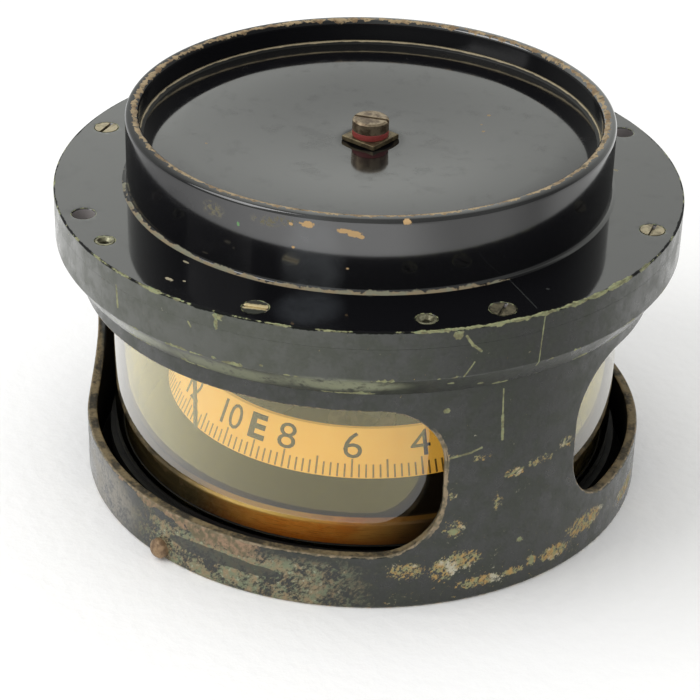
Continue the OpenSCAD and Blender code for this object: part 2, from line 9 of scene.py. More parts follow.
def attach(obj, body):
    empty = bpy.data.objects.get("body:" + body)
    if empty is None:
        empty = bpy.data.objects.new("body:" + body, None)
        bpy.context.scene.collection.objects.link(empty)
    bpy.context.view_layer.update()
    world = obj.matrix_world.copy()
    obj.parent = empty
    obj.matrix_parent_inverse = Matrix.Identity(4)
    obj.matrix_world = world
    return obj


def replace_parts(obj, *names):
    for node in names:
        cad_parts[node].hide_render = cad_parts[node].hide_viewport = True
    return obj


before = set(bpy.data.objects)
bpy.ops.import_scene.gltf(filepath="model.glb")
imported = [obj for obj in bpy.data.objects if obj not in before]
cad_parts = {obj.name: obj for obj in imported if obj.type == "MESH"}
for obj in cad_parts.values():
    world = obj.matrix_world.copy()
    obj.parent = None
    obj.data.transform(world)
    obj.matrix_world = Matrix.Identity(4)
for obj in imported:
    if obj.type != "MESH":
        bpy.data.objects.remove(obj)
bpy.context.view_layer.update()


# Table and studio. The compass stands on a white table in soft daylight, with one broad lamp in
# front of it and to the left of the camera. Gloss mirrors a room that is dimmer in front and at right.
scene = bpy.context.scene
scene.view_settings.view_transform = "Standard"
MM = 0.001

camera = bpy.data.objects.new("camera", bpy.data.cameras.new("camera"))
camera.data.sensor_width = 36
camera.data.lens = 118.25
camera.data.clip_start = 0.01
camera_place = Vector((311.55, -342.39, 296.35)) * MM
camera_right = Vector((0.7257, 0.68763, 0.02259)).normalized()
camera_back = Vector((0.58596, -0.63494, 0.50349)).normalized()
camera_up = camera_back.cross(camera_right).normalized()
camera_right = camera_up.cross(camera_back)
camera.matrix_world = Matrix.Translation(camera_place) @ Matrix(
    (camera_right, camera_up, camera_back)).transposed().to_4x4()
scene.collection.objects.link(camera)
scene.camera = camera


class Field:
    """A value, colour or place that changes over a surface: a node's output that takes plain sums.
    A bar between two masks gives the stronger of them."""

    def __init__(self, socket):
        self.socket, self.tree = socket, socket.id_data

    def __abs__(self):
        return calc("ABSOLUTE", self)


for sign, operation in (("add", "ADD"), ("sub", "SUBTRACT"), ("mul", "MULTIPLY"), ("truediv", "DIVIDE"),
                        ("pow", "POWER"), ("or", "MAXIMUM")):
    setattr(Field, f"__{sign}__", lambda a, b, operation=operation: calc(operation, a, b))
    setattr(Field, f"__r{sign}__", lambda a, b, operation=operation: calc(operation, b, a))


def wire(tree, kind, inputs=None, **settings):
    """One node of a finish. Inputs go by name or number: fields are linked, anything else is set."""
    node = tree.nodes.new(kind)
    for name, value in settings.items():
        setattr(node, name, value)
    for key, value in (inputs or {}).items():
        if isinstance(value, Field):
            tree.links.new(value.socket, node.inputs[key])
        else:
            node.inputs[key].default_value = value
    return node


def read(tree, kind, output, inputs=None, **settings):
    """One output of a new node, by name or number."""
    return Field(wire(tree, kind, inputs, **settings).outputs[output])


def tree_of(values):
    return next(value.tree for value in values if isinstance(value, Field))


def calc(operation, *values):
    return read(tree_of(values), "ShaderNodeMath", 0, dict(enumerate(values)), operation=operation)


def clamped(total):
    """The same sum, held between 0 and 1."""
    total.socket.node.use_clamp = True
    return total


def ramp(value, low, high, first=0, last=1, kind="LINEAR"):
    """What runs from first to last while the value runs from low to high."""
    return read(value.tree, "ShaderNodeMapRange", 0, {0: value, 1: low, 2: high, 3: first, 4: last},
                interpolation_type=kind)


def step_up(value, low, high):
    """0 below low, 1 above high, smooth between."""
    return ramp(value, low, high, kind="SMOOTHSTEP")


def mixed(factor, a, b):
    """Colour a where the factor is 0, colour b where it is 1."""
    a, b = (colour if isinstance(colour, Field) else (*colour, 1) for colour in (a, b))
    return read(factor.tree, "ShaderNodeMix", 2, {0: factor, 6: a, 7: b}, data_type="RGBA")


def feed(inputs, **fields):
    """Links fields to named inputs; underscores stand for spaces."""
    for name, field in fields.items():
        field.tree.links.new(field.socket, inputs[name.replace("_", " ")])


def bumped(shader, height, strength, distance):
    """Relief so many mm deep."""
    feed(shader, Normal=read(height.tree, "ShaderNodeBump", 0, {
        "Height": height, "Strength": strength, "Distance": distance * MM}))


def finish(name, colour, roughness, metallic=0, ior=1.5, **others):
    """A new finish with one shader. Returns the material, its node tree and the shader's inputs."""
    material = bpy.data.materials.new(name)
    material.use_nodes = True
    shader = material.node_tree.nodes["Principled BSDF"].inputs
    shader["Base Color"].default_value = (*colour, 1)
    shader["Roughness"].default_value = roughness
    shader["Metallic"].default_value = metallic
    shader["IOR"].default_value = ior
    for socket, value in others.items():
        shader[socket.replace("_", " ")].default_value = value
    return material, material.node_tree, shader


def ray(tree, kind):
    return read(tree, "ShaderNodeLightPath", f"Is {kind} Ray")


def seen(tree):
    """1 for what the camera, a reflection or clear glass sees, 0 for the light that falls on things."""
    return ray(tree, "Camera") | ray(tree, "Glossy") | ray(tree, "Transmission")


def toward(side, place, near, far):
    """0 before the near mark on the way to one side of the room, 1 beyond the far mark."""
    across = read(place.tree, "ShaderNodeVectorMath", "Value", {0: place, 1: side}, operation="DOT_PRODUCT")
    return step_up(across, near, far)


ROOM_RIGHT, ROOM_BACK = (0.726, 0.688, 0), (-0.688, 0.726, 0)
AMBIENT, DIM_SIDE, DARK_FRONT = 0.92, 0.35, 0.6
WHITE, BLACK, MIRRORED_SKY = (1, 1, 1), (0, 0, 0), (0.98, 1, 0.95)

surround = bpy.data.worlds.new("surround")
surround.use_nodes = True
scene.world = surround
tree = surround.node_tree
way = read(tree, "ShaderNodeTexCoord", "Generated")
mirrored = ray(tree, "Glossy")
level = seen(tree) * (1 - AMBIENT) + AMBIENT
front = 1 - (1 - toward(ROOM_BACK, way, 0.05, 0.55)) * mirrored * DARK_FRONT
right = 1 - toward(ROOM_RIGHT, way, -0.2, 0.45) * mirrored * DIM_SIDE
feed(tree.nodes["Background"].inputs, Color=mixed(mirrored, WHITE, MIRRORED_SKY),
     Strength=level * front * right)

TABLE_HALF, TABLE_TOP = 3, -0.02 * MM
TABLE_LIFT, FRONT_SHADE = 0.07, 0.4
table_mesh = bpy.data.meshes.new("table")
table_mesh.from_pydata([(x * TABLE_HALF, y * TABLE_HALF, TABLE_TOP)
                        for x, y in ((-1, -1), (1, -1), (1, 1), (-1, 1))], [], [(0, 1, 2, 3)])
table = bpy.data.objects.new("table", table_mesh)
table_white, tree, board = finish("table_white", (0.95, 0.95, 0.945), 0.9, Specular_IOR_Level=0)
place = read(tree, "ShaderNodeTexCoord", "Object")
flat = read(tree, "ShaderNodeVectorMath", 0, {0: place, 1: (1, 1, 0)}, operation="MULTIPLY")
out_from = read(tree, "ShaderNodeVectorMath", "Value", {0: flat}, operation="LENGTH")
# painted shade: the table is a little darker towards the right, away from the lamp
tone = mixed(toward(ROOM_RIGHT, place, 0.02, 0.13), (0.95, 0.95, 0.945), (0.9, 0.9, 0.885))
# painted shade: the table is dark under the cage, inside its wall, where no light reaches
tone = mixed(ramp(out_from, 0.0622, 0.0636), (0.02, 0.02, 0.02), tone)
# painted shade in reflections only: the table that gloss mirrors is darker in front and to the right
mirrored_shade_front_right = clamped(toward(ROOM_RIGHT, place, 0.03, 0.13) - toward(ROOM_BACK, place, -0.08, 0))
tone = mixed(mirrored_shade_front_right * ray(tree, "Glossy") * FRONT_SHADE, tone, BLACK)
# the white lift fades in outwards from the cage's foot, so the table under and right round the foot keeps a
# painted shade
lift_beyond_foot = ramp(out_from, 0.064, 0.085)
feed(board, Base_Color=tone, Emission_Color=tone, Emission_Strength=seen(tree) * lift_beyond_foot * TABLE_LIFT)
bumped(board, read(tree, "ShaderNodeTexNoise", 0, {"Vector": place, "Scale": 260, "Detail": 4}), 0.35, 0.8)
table_mesh.materials.append(table_white)
scene.collection.objects.link(table)

lamp = bpy.data.objects.new("lamp", bpy.data.lights.new("lamp", "AREA"))
lamp.data.energy = 6.2
lamp.data.size = 0.8
lamp_aim, lamp_away = Vector((0, 0, 0.05)), 1.3
lamp.location = lamp_aim + lamp_away * Vector((-0.354, -0.612, 0.707))
lamp.rotation_euler = (lamp_aim - lamp.location).to_track_quat("-Z", "Y").to_euler()
scene.collection.objects.link(lamp)


# Guard cage. A brass casting turned all over, with three windows milled through its wall and a
# ring on top that carries the head. Satin black enamel, rubbed through on its edges and foot.
CAGE_R, CAGE_RI, CAGE_TOP = 64.5, 62.2, 55
RING_R, RING_FOOT_R, RING_RI = 70, 66.5, 60.4
RING_SIDE_Z, PLATE_Z, FLANGE_TOP = 60.2, 67.5, 71.5
SILL_Z, WINDOW_TOP, CORNER = 13.4, 49.5, 14
WINDOWS = ((0, 116), (126.5, 77), (-126.5, 77))
# how far a window's edge is grown, and how deep below the wall, along its rounding
WINDOW_EDGE = ((0.7, 0), (0.42, 0.04), (0.2, 0.14), (0.06, 0.32), (0, 0.6), (0, 1.9), (0.05, 2.1),
               (0.18, 2.25), (0.4, 2.3))
CAGE_STEPS = 144


def softened(corners, steps=4):
    """An outline of (radius, height, rounding) corners with each rounded corner laid out as an arc."""
    points = []
    for i, (r, z, rounding) in enumerate(corners):
        here = np.array((r, z))
        if not rounding:
            points.append(here)
            continue
        before = np.array(corners[i - 1][:2]) - here
        after = np.array(corners[(i + 1) % len(corners)][:2]) - here
        reach = 0.48 * min(np.linalg.norm(before), np.linalg.norm(after))
        before, after = before / np.linalg.norm(before), after / np.linalg.norm(after)
        half = math.acos(np.clip(before @ after, -1, 1)) / 2
        reach = min(reach, rounding / math.tan(half))
        for k in range(steps + 1):
            t = k / steps
            points.append(here + reach * ((1 - t) ** 2 * before + t ** 2 * after))
    return points


def bridged(bm, rings):
    """Faces between each ring of points and the next."""
    for near, far in zip(rings, rings[1:]):
        for k in range(len(near)):
            n = (k + 1) % len(near)
            bm.faces.new((near[k], near[n], far[n], far[k]))


def on_wall(angle, height, radius):
    a = math.radians(angle)
    return (radius * MM * math.sin(a), -radius * MM * math.cos(a), height * MM)


def spun(bm, outline, steps, closed):
    """Faces turned from an outline of (radius, height) points, in mm, added to bm."""
    rings = []
    for r, z in outline:
        turn = [2 * math.pi * (k / steps) - math.pi for k in range(steps)]
        rings.append([bm.verts.new((r * MM * math.sin(a), -r * MM * math.cos(a), z * MM)) for a in turn])
    bridged(bm, rings + rings[:1] if closed else rings)


def made(bm, name, body, slot, *materials, weld=0.002):
    """The finished piece from bm: welded, faced outwards, smooth where it is round, riding on its body."""
    bmesh.ops.remove_doubles(bm, verts=bm.verts, dist=weld * MM)
    bmesh.ops.dissolve_degenerate(bm, edges=bm.edges, dist=0.0005 * MM)
    bmesh.ops.recalc_face_normals(bm, faces=bm.faces)
    mesh = bpy.data.meshes.new(name)
    bm.to_mesh(mesh)
    bm.free()
    mesh.polygons.foreach_set("use_smooth", [True] * len(mesh.polygons))
    for material in materials:
        mesh.materials.append(material)
    piece = bpy.data.objects.new(name, mesh)
    scene.collection.objects.link(piece)
    even = piece.modifiers.new("even", "WEIGHTED_NORMAL")
    even.weight = 90
    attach(piece, body)
    return piece


def filled(bm, loops, spare, inside, lift):
    """A flat sheet between loops of points, with spare points in it, added to bm where inside() says so."""
    flat, edges = [], []
    for loop in loops:
        first = len(flat)
        flat += loop
        edges += [(first + i, first + (i + 1) % len(loop)) for i in range(len(loop))]
    points, _, triangles, *_ = geometry.delaunay_2d_cdt(
        [Vector(p) for p in flat + spare], edges, [], 0, 1e-5)
    verts = [bm.verts.new(lift(p.x, p.y)) for p in points]
    for triangle in triangles:
        middle = sum((points[i] for i in triangle), Vector((0, 0))) / 3
        if inside(middle.x, middle.y):
            bm.faces.new([verts[i] for i in triangle])
    bmesh.ops.delete(bm, geom=[v for v in verts if not v.link_faces], context="VERTS")


def straight_end(width):
    """The angle from a window's middle to where its corners begin."""
    return width / 2 - math.degrees(math.asin(CORNER / CAGE_R))


def window_edge(middle, width, grow, radius):
    """Points (angle, height) round a window's edge, grown by some mm, on a wall of that radius."""
    end = straight_end(width)
    r = CORNER + grow
    low, high = SILL_Z + CORNER, WINDOW_TOP - CORNER
    points = []
    for side, z, start in ((1, low, -90), (1, high, 0), (-1, high, 90), (-1, low, 180)):
        for k in range(13):
            t = math.radians(start + 7.5 * k)
            swing = math.degrees(math.asin(r * math.cos(t) / radius))
            points.append((middle + side * end + swing, z + r * math.sin(t)))
        if start in (-90, 90):
            stop = (high, low)[side < 0]
            points += [(points[-1][0], z + (stop - z) * k / 4) for k in (1, 2, 3)]
        else:
            count = int(end)
            points += [(middle + side * end * (1 - 2 * k / count), points[-1][1]) for k in range(1, count)]
    return points


def off_window(angle, height, radius, grow):
    """Whether a place on the wall lies outside every window grown by some mm."""
    for middle, width in WINDOWS:
        swing = abs((angle - middle + 180) % 360 - 180)
        across = radius * math.radians(max(swing - straight_end(width), 0))
        mid, half = (SILL_Z + WINDOW_TOP) / 2, (WINDOW_TOP - SILL_Z) / 2 - CORNER
        if math.hypot(across, max(abs(height - mid) - half, 0)) < CORNER + grow:
            return False
    return True


cage = bmesh.new()
for wall_r, foot, grow in ((CAGE_R, 0.8, 0.7), (CAGE_RI, 0.5, 0.4)):
    arc = math.radians(wall_r)
    turns = [-180 + 360 * k / CAGE_STEPS for k in range(CAGE_STEPS + 1)]
    rises = [foot + (CAGE_TOP - foot) * k / 10 for k in range(11)]
    rim = [(a * arc, foot) for a in turns] + [(180 * arc, z) for z in rises[1:]]
    rim += [(a * arc, CAGE_TOP) for a in turns[-2::-1]] + [(-180 * arc, z) for z in rises[-2:0:-1]]
    holes = [[(a * arc, z) for a, z in window_edge(*window, grow, wall_r)] for window in WINDOWS]
    spare = [(a * arc, z) for a in turns[1:-1:2] for z in rises[1:-1]
             if off_window(a, z, wall_r, grow + 1.5)]
    # the rear windows stop short of the seam at the back of the wall, so no hole crosses it
    filled(cage, [rim] + holes, spare,
           lambda x, y: off_window(x / arc, y, wall_r, grow - 0.02),
           lambda x, y: on_wall(x / arc, y, wall_r))
for window in WINDOWS:
    bridged(cage, [[cage.verts.new(on_wall(a, z, CAGE_R - depth))
                    for a, z in window_edge(*window, grow, CAGE_R - depth)] for grow, depth in WINDOW_EDGE])
spun(cage, [(CAGE_R, 0.8), (CAGE_R - 0.1, 0.35), (CAGE_R - 0.35, 0.08), (CAGE_R - 0.8, 0),
            (CAGE_RI + 0.5, 0), (CAGE_RI + 0.15, 0.15), (CAGE_RI, 0.5)], CAGE_STEPS, False)
spun(cage, [(CAGE_R, CAGE_TOP)] + softened([
    (CAGE_R, 54, 0), (CAGE_R, CAGE_TOP, 0.4), (RING_FOOT_R, CAGE_TOP, 0.5), (RING_R, RING_SIDE_Z, 0.7),
    (RING_R, PLATE_Z, 0.05), (RING_RI, PLATE_Z, 0), (RING_RI, CAGE_TOP, 0), (CAGE_RI, CAGE_TOP, 0)])[2:],
     CAGE_STEPS, False)


def fields(node):
    """A node's outputs, by name."""
    return {socket.name: Field(socket) for socket in node.outputs}


def effect(name, outputs, **inputs):
    """A shared effect: a node group with named sockets. Returns it with its given fields and its results."""
    group = bpy.data.node_groups.new(name, "ShaderNodeTree")
    for socket, value in inputs.items():
        kind = "Vector" if value is None else "Color" if isinstance(value, tuple) else "Float"
        new = group.interface.new_socket(name=socket.replace("_", " "), in_out="INPUT",
                                         socket_type="NodeSocket" + kind)
        if value is not None:
            new.default_value = (*value, 1) if kind == "Color" else value
    for socket, kind in outputs.items():
        group.interface.new_socket(name=socket, in_out="OUTPUT", socket_type="NodeSocket" + kind)
    return group, fields(group.nodes.new("NodeGroupInput")), group.nodes.new("NodeGroupOutput").inputs


def use(group, tree=None, **inputs):
    """An effect placed in a finish with its own values; underscores stand for spaces."""
    values = {name.replace("_", " "): (*value, 1) if isinstance(value, tuple) else value
              for name, value in inputs.items()}
    tree = tree or tree_of(values.values())
    return fields(wire(tree, "ShaderNodeGroup", values, node_tree=group))


def step_down(value, low, high):
    """1 below low, 0 above high, smooth between."""
    return ramp(value, low, high, 1, 0, "SMOOTHSTEP")


def between(value, low, from_here, to_here, high):
    """1 from one place to another, 0 outside low and high, smooth between."""
    return step_up(value, low, from_here) * step_down(value, to_here, high)


def far_off(a, b):
    """The length of two legs."""
    return calc("SQRT", a ** 2 + b ** 2)


def cloud(place, size, detail=3, rough=0.55, stretch=(1, 1, 1)):
    """Noise whose lumps are about size mm across, from a place in mm."""
    if isinstance(size, Field):
        spread = read(place.tree, "ShaderNodeVectorMath", 0, {0: place, "Scale": 1 / size}, operation="SCALE")
    else:
        spread = read(place.tree, "ShaderNodeVectorMath", 0, {0: place, 1: [s / size for s in stretch]},
                      operation="MULTIPLY")
    return read(place.tree, "ShaderNodeTexNoise", 0, {
        "Vector": spread, "Scale": 1, "Detail": detail, "Roughness": rough})


# where a point lies on the part: angle from the front round to the right, radius and height
round_place, _, result = effect(
    "round_place", dict(Angle="Float", Radius="Float", Height="Float", Point="Vector"))
point = read(round_place, "ShaderNodeVectorMath", 0, {
    0: read(round_place, "ShaderNodeTexCoord", "Object"), 1: (1000, 1000, 1000)}, operation="MULTIPLY")


def xyz_of(point):
    parts = wire(point.tree, "ShaderNodeSeparateXYZ", {0: point}).outputs
    return [Field(part) for part in parts]


x, y, z = xyz_of(point)
feed(result, Angle=calc("DEGREES", calc("ARCTAN2", x, y * -1)), Radius=far_off(x, y), Height=z, Point=point)


def surface(name, colour, roughness, **others):
    """A finish on the part. Returns the material, the shader's inputs and where each point of it lies."""
    material, tree, shader = finish(name, colour, roughness, **others)
    return material, shader, use(round_place, tree)


# paint or metal rubbed away along an edge, from the distance to that edge in mm
worn_edge, given, result = effect("worn_edge", dict(Mask="Float"), Distance=0, Reach=0.4, Rag=0.4, Soft=0.08,
                                  Size=1.5, Point=None)
lumps = cloud(given["Point"], given["Size"], 4, 0.6)
pushed = (lumps - 0.5) * (given["Rag"] * 4) + given["Distance"]
feed(result, Mask=step_down(pushed, given["Reach"] - given["Soft"], given["Reach"] + given["Soft"]))


def worn(distance, reach, rag, size, point, soft=0.08):
    return use(worn_edge, Distance=distance, Reach=reach, Rag=rag, Soft=soft, Size=size,
               Point=point)["Mask"]


def off_middle(given):
    """How far a place is from a mark's middle, in halves of its size: the squares along u and v."""
    return [((given[axis] - given["At " + axis]) / given["Half " + axis]) ** 2 for axis in "UV"]


# one chip at a place on the surface, measured in mm along it and up it
chip, given, result = effect("chip", dict(Mask="Float"), U=0, V=0, At_U=0, At_V=0, Half_U=1, Half_V=1,
                             Rag=0.5, Point=None)
along, upward = off_middle(given)
ragged = (cloud(given["Point"], 0.9) - 0.5) * (given["Rag"] * 4) + calc("SQRT", along + upward)
feed(result, Mask=step_down(ragged, 0.75, 1))

# a soft round zone on the surface, 1 at its middle and 0 at its edge
patch, given, result = effect("patch", dict(Mask="Float"), U=0, V=0, At_U=0, At_V=0, Half_U=1, Half_V=1)
along, upward = off_middle(given)
feed(result, Mask=step_down(along + upward, 0.1, 1.3))

# one scratch between two places on the surface
scratch, given, result = effect("scratch", dict(Mask="Float"), U=0, V=0, From_U=0, From_V=0, To_U=0,
                                To_V=0, Half_Width=0.15, Rag=0.5, Point=None)


def span(operation, output, a, b):
    return read(scratch, "ShaderNodeVectorMath", output, {0: a, 1: b}, operation=operation)


here, start, stop = (read(scratch, "ShaderNodeCombineXYZ", 0, {0: given[end + "U"], 1: given[end + "V"]})
                     for end in ("", "From ", "To "))
along, whole = span("SUBTRACT", 0, here, start), span("SUBTRACT", 0, stop, start)
share = clamped(span("DOT_PRODUCT", "Value", along, whole) / span("DOT_PRODUCT", "Value", whole, whole))
foot = read(scratch, "ShaderNodeVectorMath", 0, {0: whole, "Scale": share}, operation="SCALE")
ragged = (cloud(given["Point"], 1.1) - 0.5) * (given["Rag"] * 4 * given["Half Width"])
ragged = ragged + span("DISTANCE", "Value", along, foot)
feed(result, Mask=step_down(ragged / given["Half Width"], 0.6, 1.1))


def zones(u, v, places):
    """One mask of soft zones (u, v, half u, half v), in mm."""
    total = 0
    for a, b, c, d in places:
        total = total | use(patch, U=u, V=v, At_U=a, At_V=b, Half_U=c, Half_V=d)["Mask"]
    return total


def marked(u, v, point, chips=(), scratches=()):
    """One mask of listed chips (u, v, half u, half v) and scratches (u, v, u, v, half width), in mm."""
    total = 0
    for a, b, c, d in chips:
        total = total | use(chip, U=u, V=v, At_U=a, At_V=b, Half_U=c, Half_V=d, Rag=0.35,
                            Point=point)["Mask"]
    for a, b, c, d, width in scratches:
        total = total | use(scratch, U=u, V=v, From_U=a, From_V=b, To_U=c, To_V=d, Half_Width=width,
                            Rag=0.3, Point=point)["Mask"]
    return total


# bare metal where the paint has gone: brass browned with copper and greened in specks
bare_metal, given, result = effect("bare_metal", dict(Color="Color", Dirt="Float"), Point=None, Size=2,
                                   Brass=(0.42, 0.31, 0.15), Brown=(0.22, 0.11, 0.06), Green=(0.24, 0.27, 0.16))
broad = cloud(given["Point"], given["Size"], 5, 0.6)
specks = cloud(given["Point"], given["Size"] / 2.7, 4, 0.65)
browned = mixed(step_up(broad, 0.42, 0.6), given["Brass"], given["Brown"])
feed(result, Color=mixed(step_up(specks, 0.54, 0.64), browned, given["Green"]), Dirt=specks)

# brushed or sprayed enamel: a faint orange peel, run marks down the wall, dust and handling
paint_skin, given, result = effect("paint_skin", dict(Height="Float", Gloss="Float", Dust="Float"), Point=None,
                                   Peel=1.4, Runs=0.5)
peel = cloud(given["Point"], given["Peel"], 2, 0.5)
runs = cloud(given["Point"], 1.2, 4, 0.6, (1, 1, 0.06))
handling = cloud(given["Point"], 14, 5, 0.6)
feed(result, Height=runs * given["Runs"] + peel, Gloss=(runs - 0.5) * given["Runs"] + handling,
     Dust=step_up(cloud(given["Point"], 0.5, 3, 0.7), 0.62, 0.74))


def glazed(shader, bare):
    """The shine of whole enamel, gone where it is worn and faint in what another piece mirrors."""
    feed(shader, Coat_Weight=1 - (bare | ray(bare.tree, "Glossy")))


def flange_edge(spot):
    """Masks along the flange's upper edge: olive chips, and the dark broken line of paint beside them."""
    from_edge = far_off(RING_R - spot["Radius"], FLANGE_TOP - spot["Height"])
    patches = cloud(spot["Point"], 7, 4)
    right = between(spot["Angle"], 46, 58, 84, 110)
    front = between(spot["Angle"], -20, 0, 36, 50)
    chips = patches * 3.2 + (from_edge - 1.45) + front * -0.2 + right * -0.55
    broken = patches * -1.2 + (from_edge + 0.6)
    return (worn(chips, 0.22, 0.24, 0.8, spot["Point"]), worn(broken, 0.34, 0.16, 0.9, spot["Point"]))


# the distance from a place on the wall to a window's edge, below 0 in the window
window_gap, given, result = effect("window_gap", dict(Distance="Float"), U=0, V=0, Middle=0, Half=1)
aside = (abs(given["U"] - given["Middle"]) - given["Half"]) | 0
above = (abs(given["V"] - (SILL_Z + WINDOW_TOP) / 2) - ((WINDOW_TOP - SILL_Z) / 2 - CORNER)) | 0
feed(result, Distance=far_off(aside, above) - CORNER)

OLIVE = dict(Brass=(0.275, 0.28, 0.15))
satin_black, shader, spot = surface("satin_black", (0.02, 0.021, 0.02), 0.45, ior=1.25, Coat_IOR=1.6,
                                    Coat_Roughness=0.22)
angle, up, point = spot["Angle"], spot["Height"], spot["Point"]
u = angle * math.radians(CAGE_R)
side_u = angle * math.radians(RING_R)
skin = use(paint_skin, Point=point, Peel=1.1, Runs=0.35)
gaps = [use(window_gap, U=u, V=up, Middle=math.radians(middle) * CAGE_R,
            Half=math.radians(width / 2) * CAGE_R - CORNER)["Distance"] for middle, width in WINDOWS]
to_window = calc("MINIMUM", calc("MINIMUM", gaps[0], gaps[1]), gaps[2])
window_wear = worn(to_window, 0.3, 0.35, 1.8, point)
right_edge = zones(u, up, ((65.5, 30, 4, 22),))
window_wear = window_wear | worn(to_window, 0.95, 0.3, 1.6, point) * right_edge
window_wear = window_wear * step_up(spot["Radius"], CAGE_R - 0.55, CAGE_R - 0.2)
cut_face = step_down(spot["Radius"], CAGE_R - 0.4, CAGE_R - 0.1) * step_down(to_window, 0.1, 0.3)
foot_wear = worn(up, 0.15, 0.35, 1.6, point)

# The foot has corroded: a brown lip under the sill, a streak of clean paint beside the peg, green and
# tan grit below it, and scraped flecks that thin out towards the post.
fine = cloud(point, 0.8, 5, 0.7)
blotch = cloud(point, 5, 6, 0.62)
tint = cloud(point, 1.5, 4, 0.62)
slanted = read(u.tree, "ShaderNodeCombineXYZ", 0, {0: (u + up) * 0.62, 1: (up - u) * 1.05})
grit = cloud(slanted, 1, 6, 0.76)
lip_line = u * -0.1 + 11.4
lip = step_up(blotch * 9 + (up - lip_line), 3.8, 5.6) * between(angle, -32, -16, 14, 34)
lip = step_up(lip + grit, 0.98, 1.22) * step_down(up, 13.8, 14.6)
front = between(angle, -16, 0, 30, 58) * step_down(up, 9, 15)
gritty = step_up(front * 0.2 + blotch * 0.75 + grit, 0.94, 1.1) * front
streak = zones(u, up, ((14, 7, 13.5, 2), (24, 6.6, 8, 1.6)))
streak = step_up(streak + fine, 0.88, 1.05)
fleck_zones = zones(u, up, (
    (68.1, 19.3, 3.4, 3), (70.5, 11, 5.5, 3), (66, 9, 4, 3.5), (84.4, 12.3, 1.2, 0.9),
    (74.5, 4.1, 6.5, 1.8), (83.1, 4.4, 4, 1.2), (88, 5.4, 1.8, 1.8), (95, 5, 6, 2.2),
    (105, 8, 8, 3), (58, 9.5, 5, 2.5), (82, 30.4, 3.6, 1.5), (88.5, 31.3, 5, 1.6),
    (96, 33, 2.8, 2), (66.4, 37.6, 2.2, 0.7), (73.4, 36.2, 3, 1.2), (66.5, 27.5, 2.5, 1.2),
    (78, 24, 1.6, 3), (128, 5, 9, 2.4), (152, 9.5, 5, 2.6), (176, 6, 8, 3),
    (194, 22, 2.6, 5), (-196, 5, 7, 2.2), (-168, 8.5, 6, 3), (-140, 4.5, 9, 2),
    (-112, 9, 5, 3), (-76, 24, 2.4, 6), (-84, 7, 6, 3.2), (-70, 42, 3, 1.6),
    (200, 40, 3.5, 1.4)))
foot_zone = step_down(up, 4, 22) * (1 - between(angle, -48, -30, 30, 48))
chipped = fine * 0.42 + grit * 0.64 + (blotch - 0.5) * 0.28
flecked = step_up(fleck_zones * 0.15 + foot_zone * 0.05 + chipped, 0.665, 0.725)
side_marks = marked(u, up, point, chips=(
    (65.2, 49, 0.8, 0.8), (84.4, 12.3, 0.9, 0.6), (88, 5.4, 0.8, 1.3), (68.1, 18.6, 1.4, 1)), scratches=(
    (77.7, 52, 77.9, 45.6, 0.2), (77.9, 45.6, 78.2, 39.6, 0.38), (66.2, 37.2, 71.2, 37.9, 0.28),
    (71, 37.9, 73.4, 38.6, 0.25), (79.6, 29.9, 84, 30.9, 0.25)))
outside = step_up(spot["Radius"], 62.6, 63)
side_marks = side_marks * (step_down(up, 54.5, 55) * outside)
ring_marks = marked(side_u, up, point, chips=(
    (21.4, 70.6, 1.5, 1), (20.9, 68.6, 0.5, 1.6), (70.6, 70, 1.3, 1.1), (20.2, 60.6, 0.9, 0.35),
    (30.8, 61.4, 0.5, 0.3), (36.1, 60.1, 0.9, 0.3), (38.2, 60, 0.6, 0.3), (70, 58.2, 0.8, 0.4),
    (77, 56.6, 0.9, 0.4)), scratches=(
    (72.3, 69.6, 73.9, 67.1, 0.34), (73.9, 67.2, 75.6, 65.7, 0.34), (89.7, 70.6, 88.9, 59, 0.16),
    (74.3, 63.3, 72.2, 60.2, 0.2), (14.9, 66.2, 14.3, 67.2, 0.25), (-6.2, 68, -5.9, 63, 0.3)))
ring_marks = ring_marks * step_up(up, 55.2, 56)
edges = [worn(cloud(point, 8) * 6 + (abs(up - height) - 2.6), reach, 0.3, 1, point)
         for height, reach in ((RING_SIDE_Z, 0.02), (55.4, 0.06))]
edge_chips, edge_dark = flange_edge(spot)

# The enamel itself is uneven: greener and lighter in clouds, dusty, and greyed low on the left.
tone = mixed(step_up(blotch, 0.36, 0.66), (0.003, 0.0045, 0.002), (0.03, 0.035, 0.024))
tone = mixed(skin["Gloss"] * 0.4, tone, (0.012, 0.014, 0.009))
greyed = zones(u, up, ((-24, 6, 17, 9),)) * step_up(blotch + fine, 0.8, 1.15)
tone = mixed(greyed, tone, (0.22, 0.2, 0.165))
smudged = zones(side_u, up, ((22, 57.4, 16, 2.4), (-2, 57.8, 12, 2.2), (46, 58.3, 15, 2.3)))
tone = mixed(smudged * step_up(blotch + tint, 0.72, 1.04), tone, (0.28, 0.295, 0.185))
# painted light: the ring's side above the cage is lightened towards the front and the left, where the light
# falls
painted_light_front_left = step_up(up, 54.9, 55.6) * between(angle, -150, -100, 22, 62)
tone = mixed(painted_light_front_left * 0.5, tone, (0.082, 0.088, 0.068))
tone = mixed(skin["Dust"] * 0.5, tone, (0.075, 0.078, 0.06))
INNER_BLACK = (0.005, 0.0045, 0.004)
tone = mixed(outside, INNER_BLACK, tone)
copper = mixed(step_up(tint, 0.36, 0.62), (0.32, 0.215, 0.14), (0.15, 0.13, 0.08))
copper = mixed(step_up(fine, 0.56, 0.7), copper, (0.06, 0.055, 0.04))
patina = mixed(step_up(tint, 0.36, 0.64), (0.3, 0.225, 0.135), (0.2, 0.225, 0.145))
patina = mixed(step_up(fine, 0.56, 0.68), patina, (0.42, 0.45, 0.34))
scraped = mixed(step_up(tint, 0.4, 0.6), (0.42, 0.27, 0.1), (0.29, 0.285, 0.15))
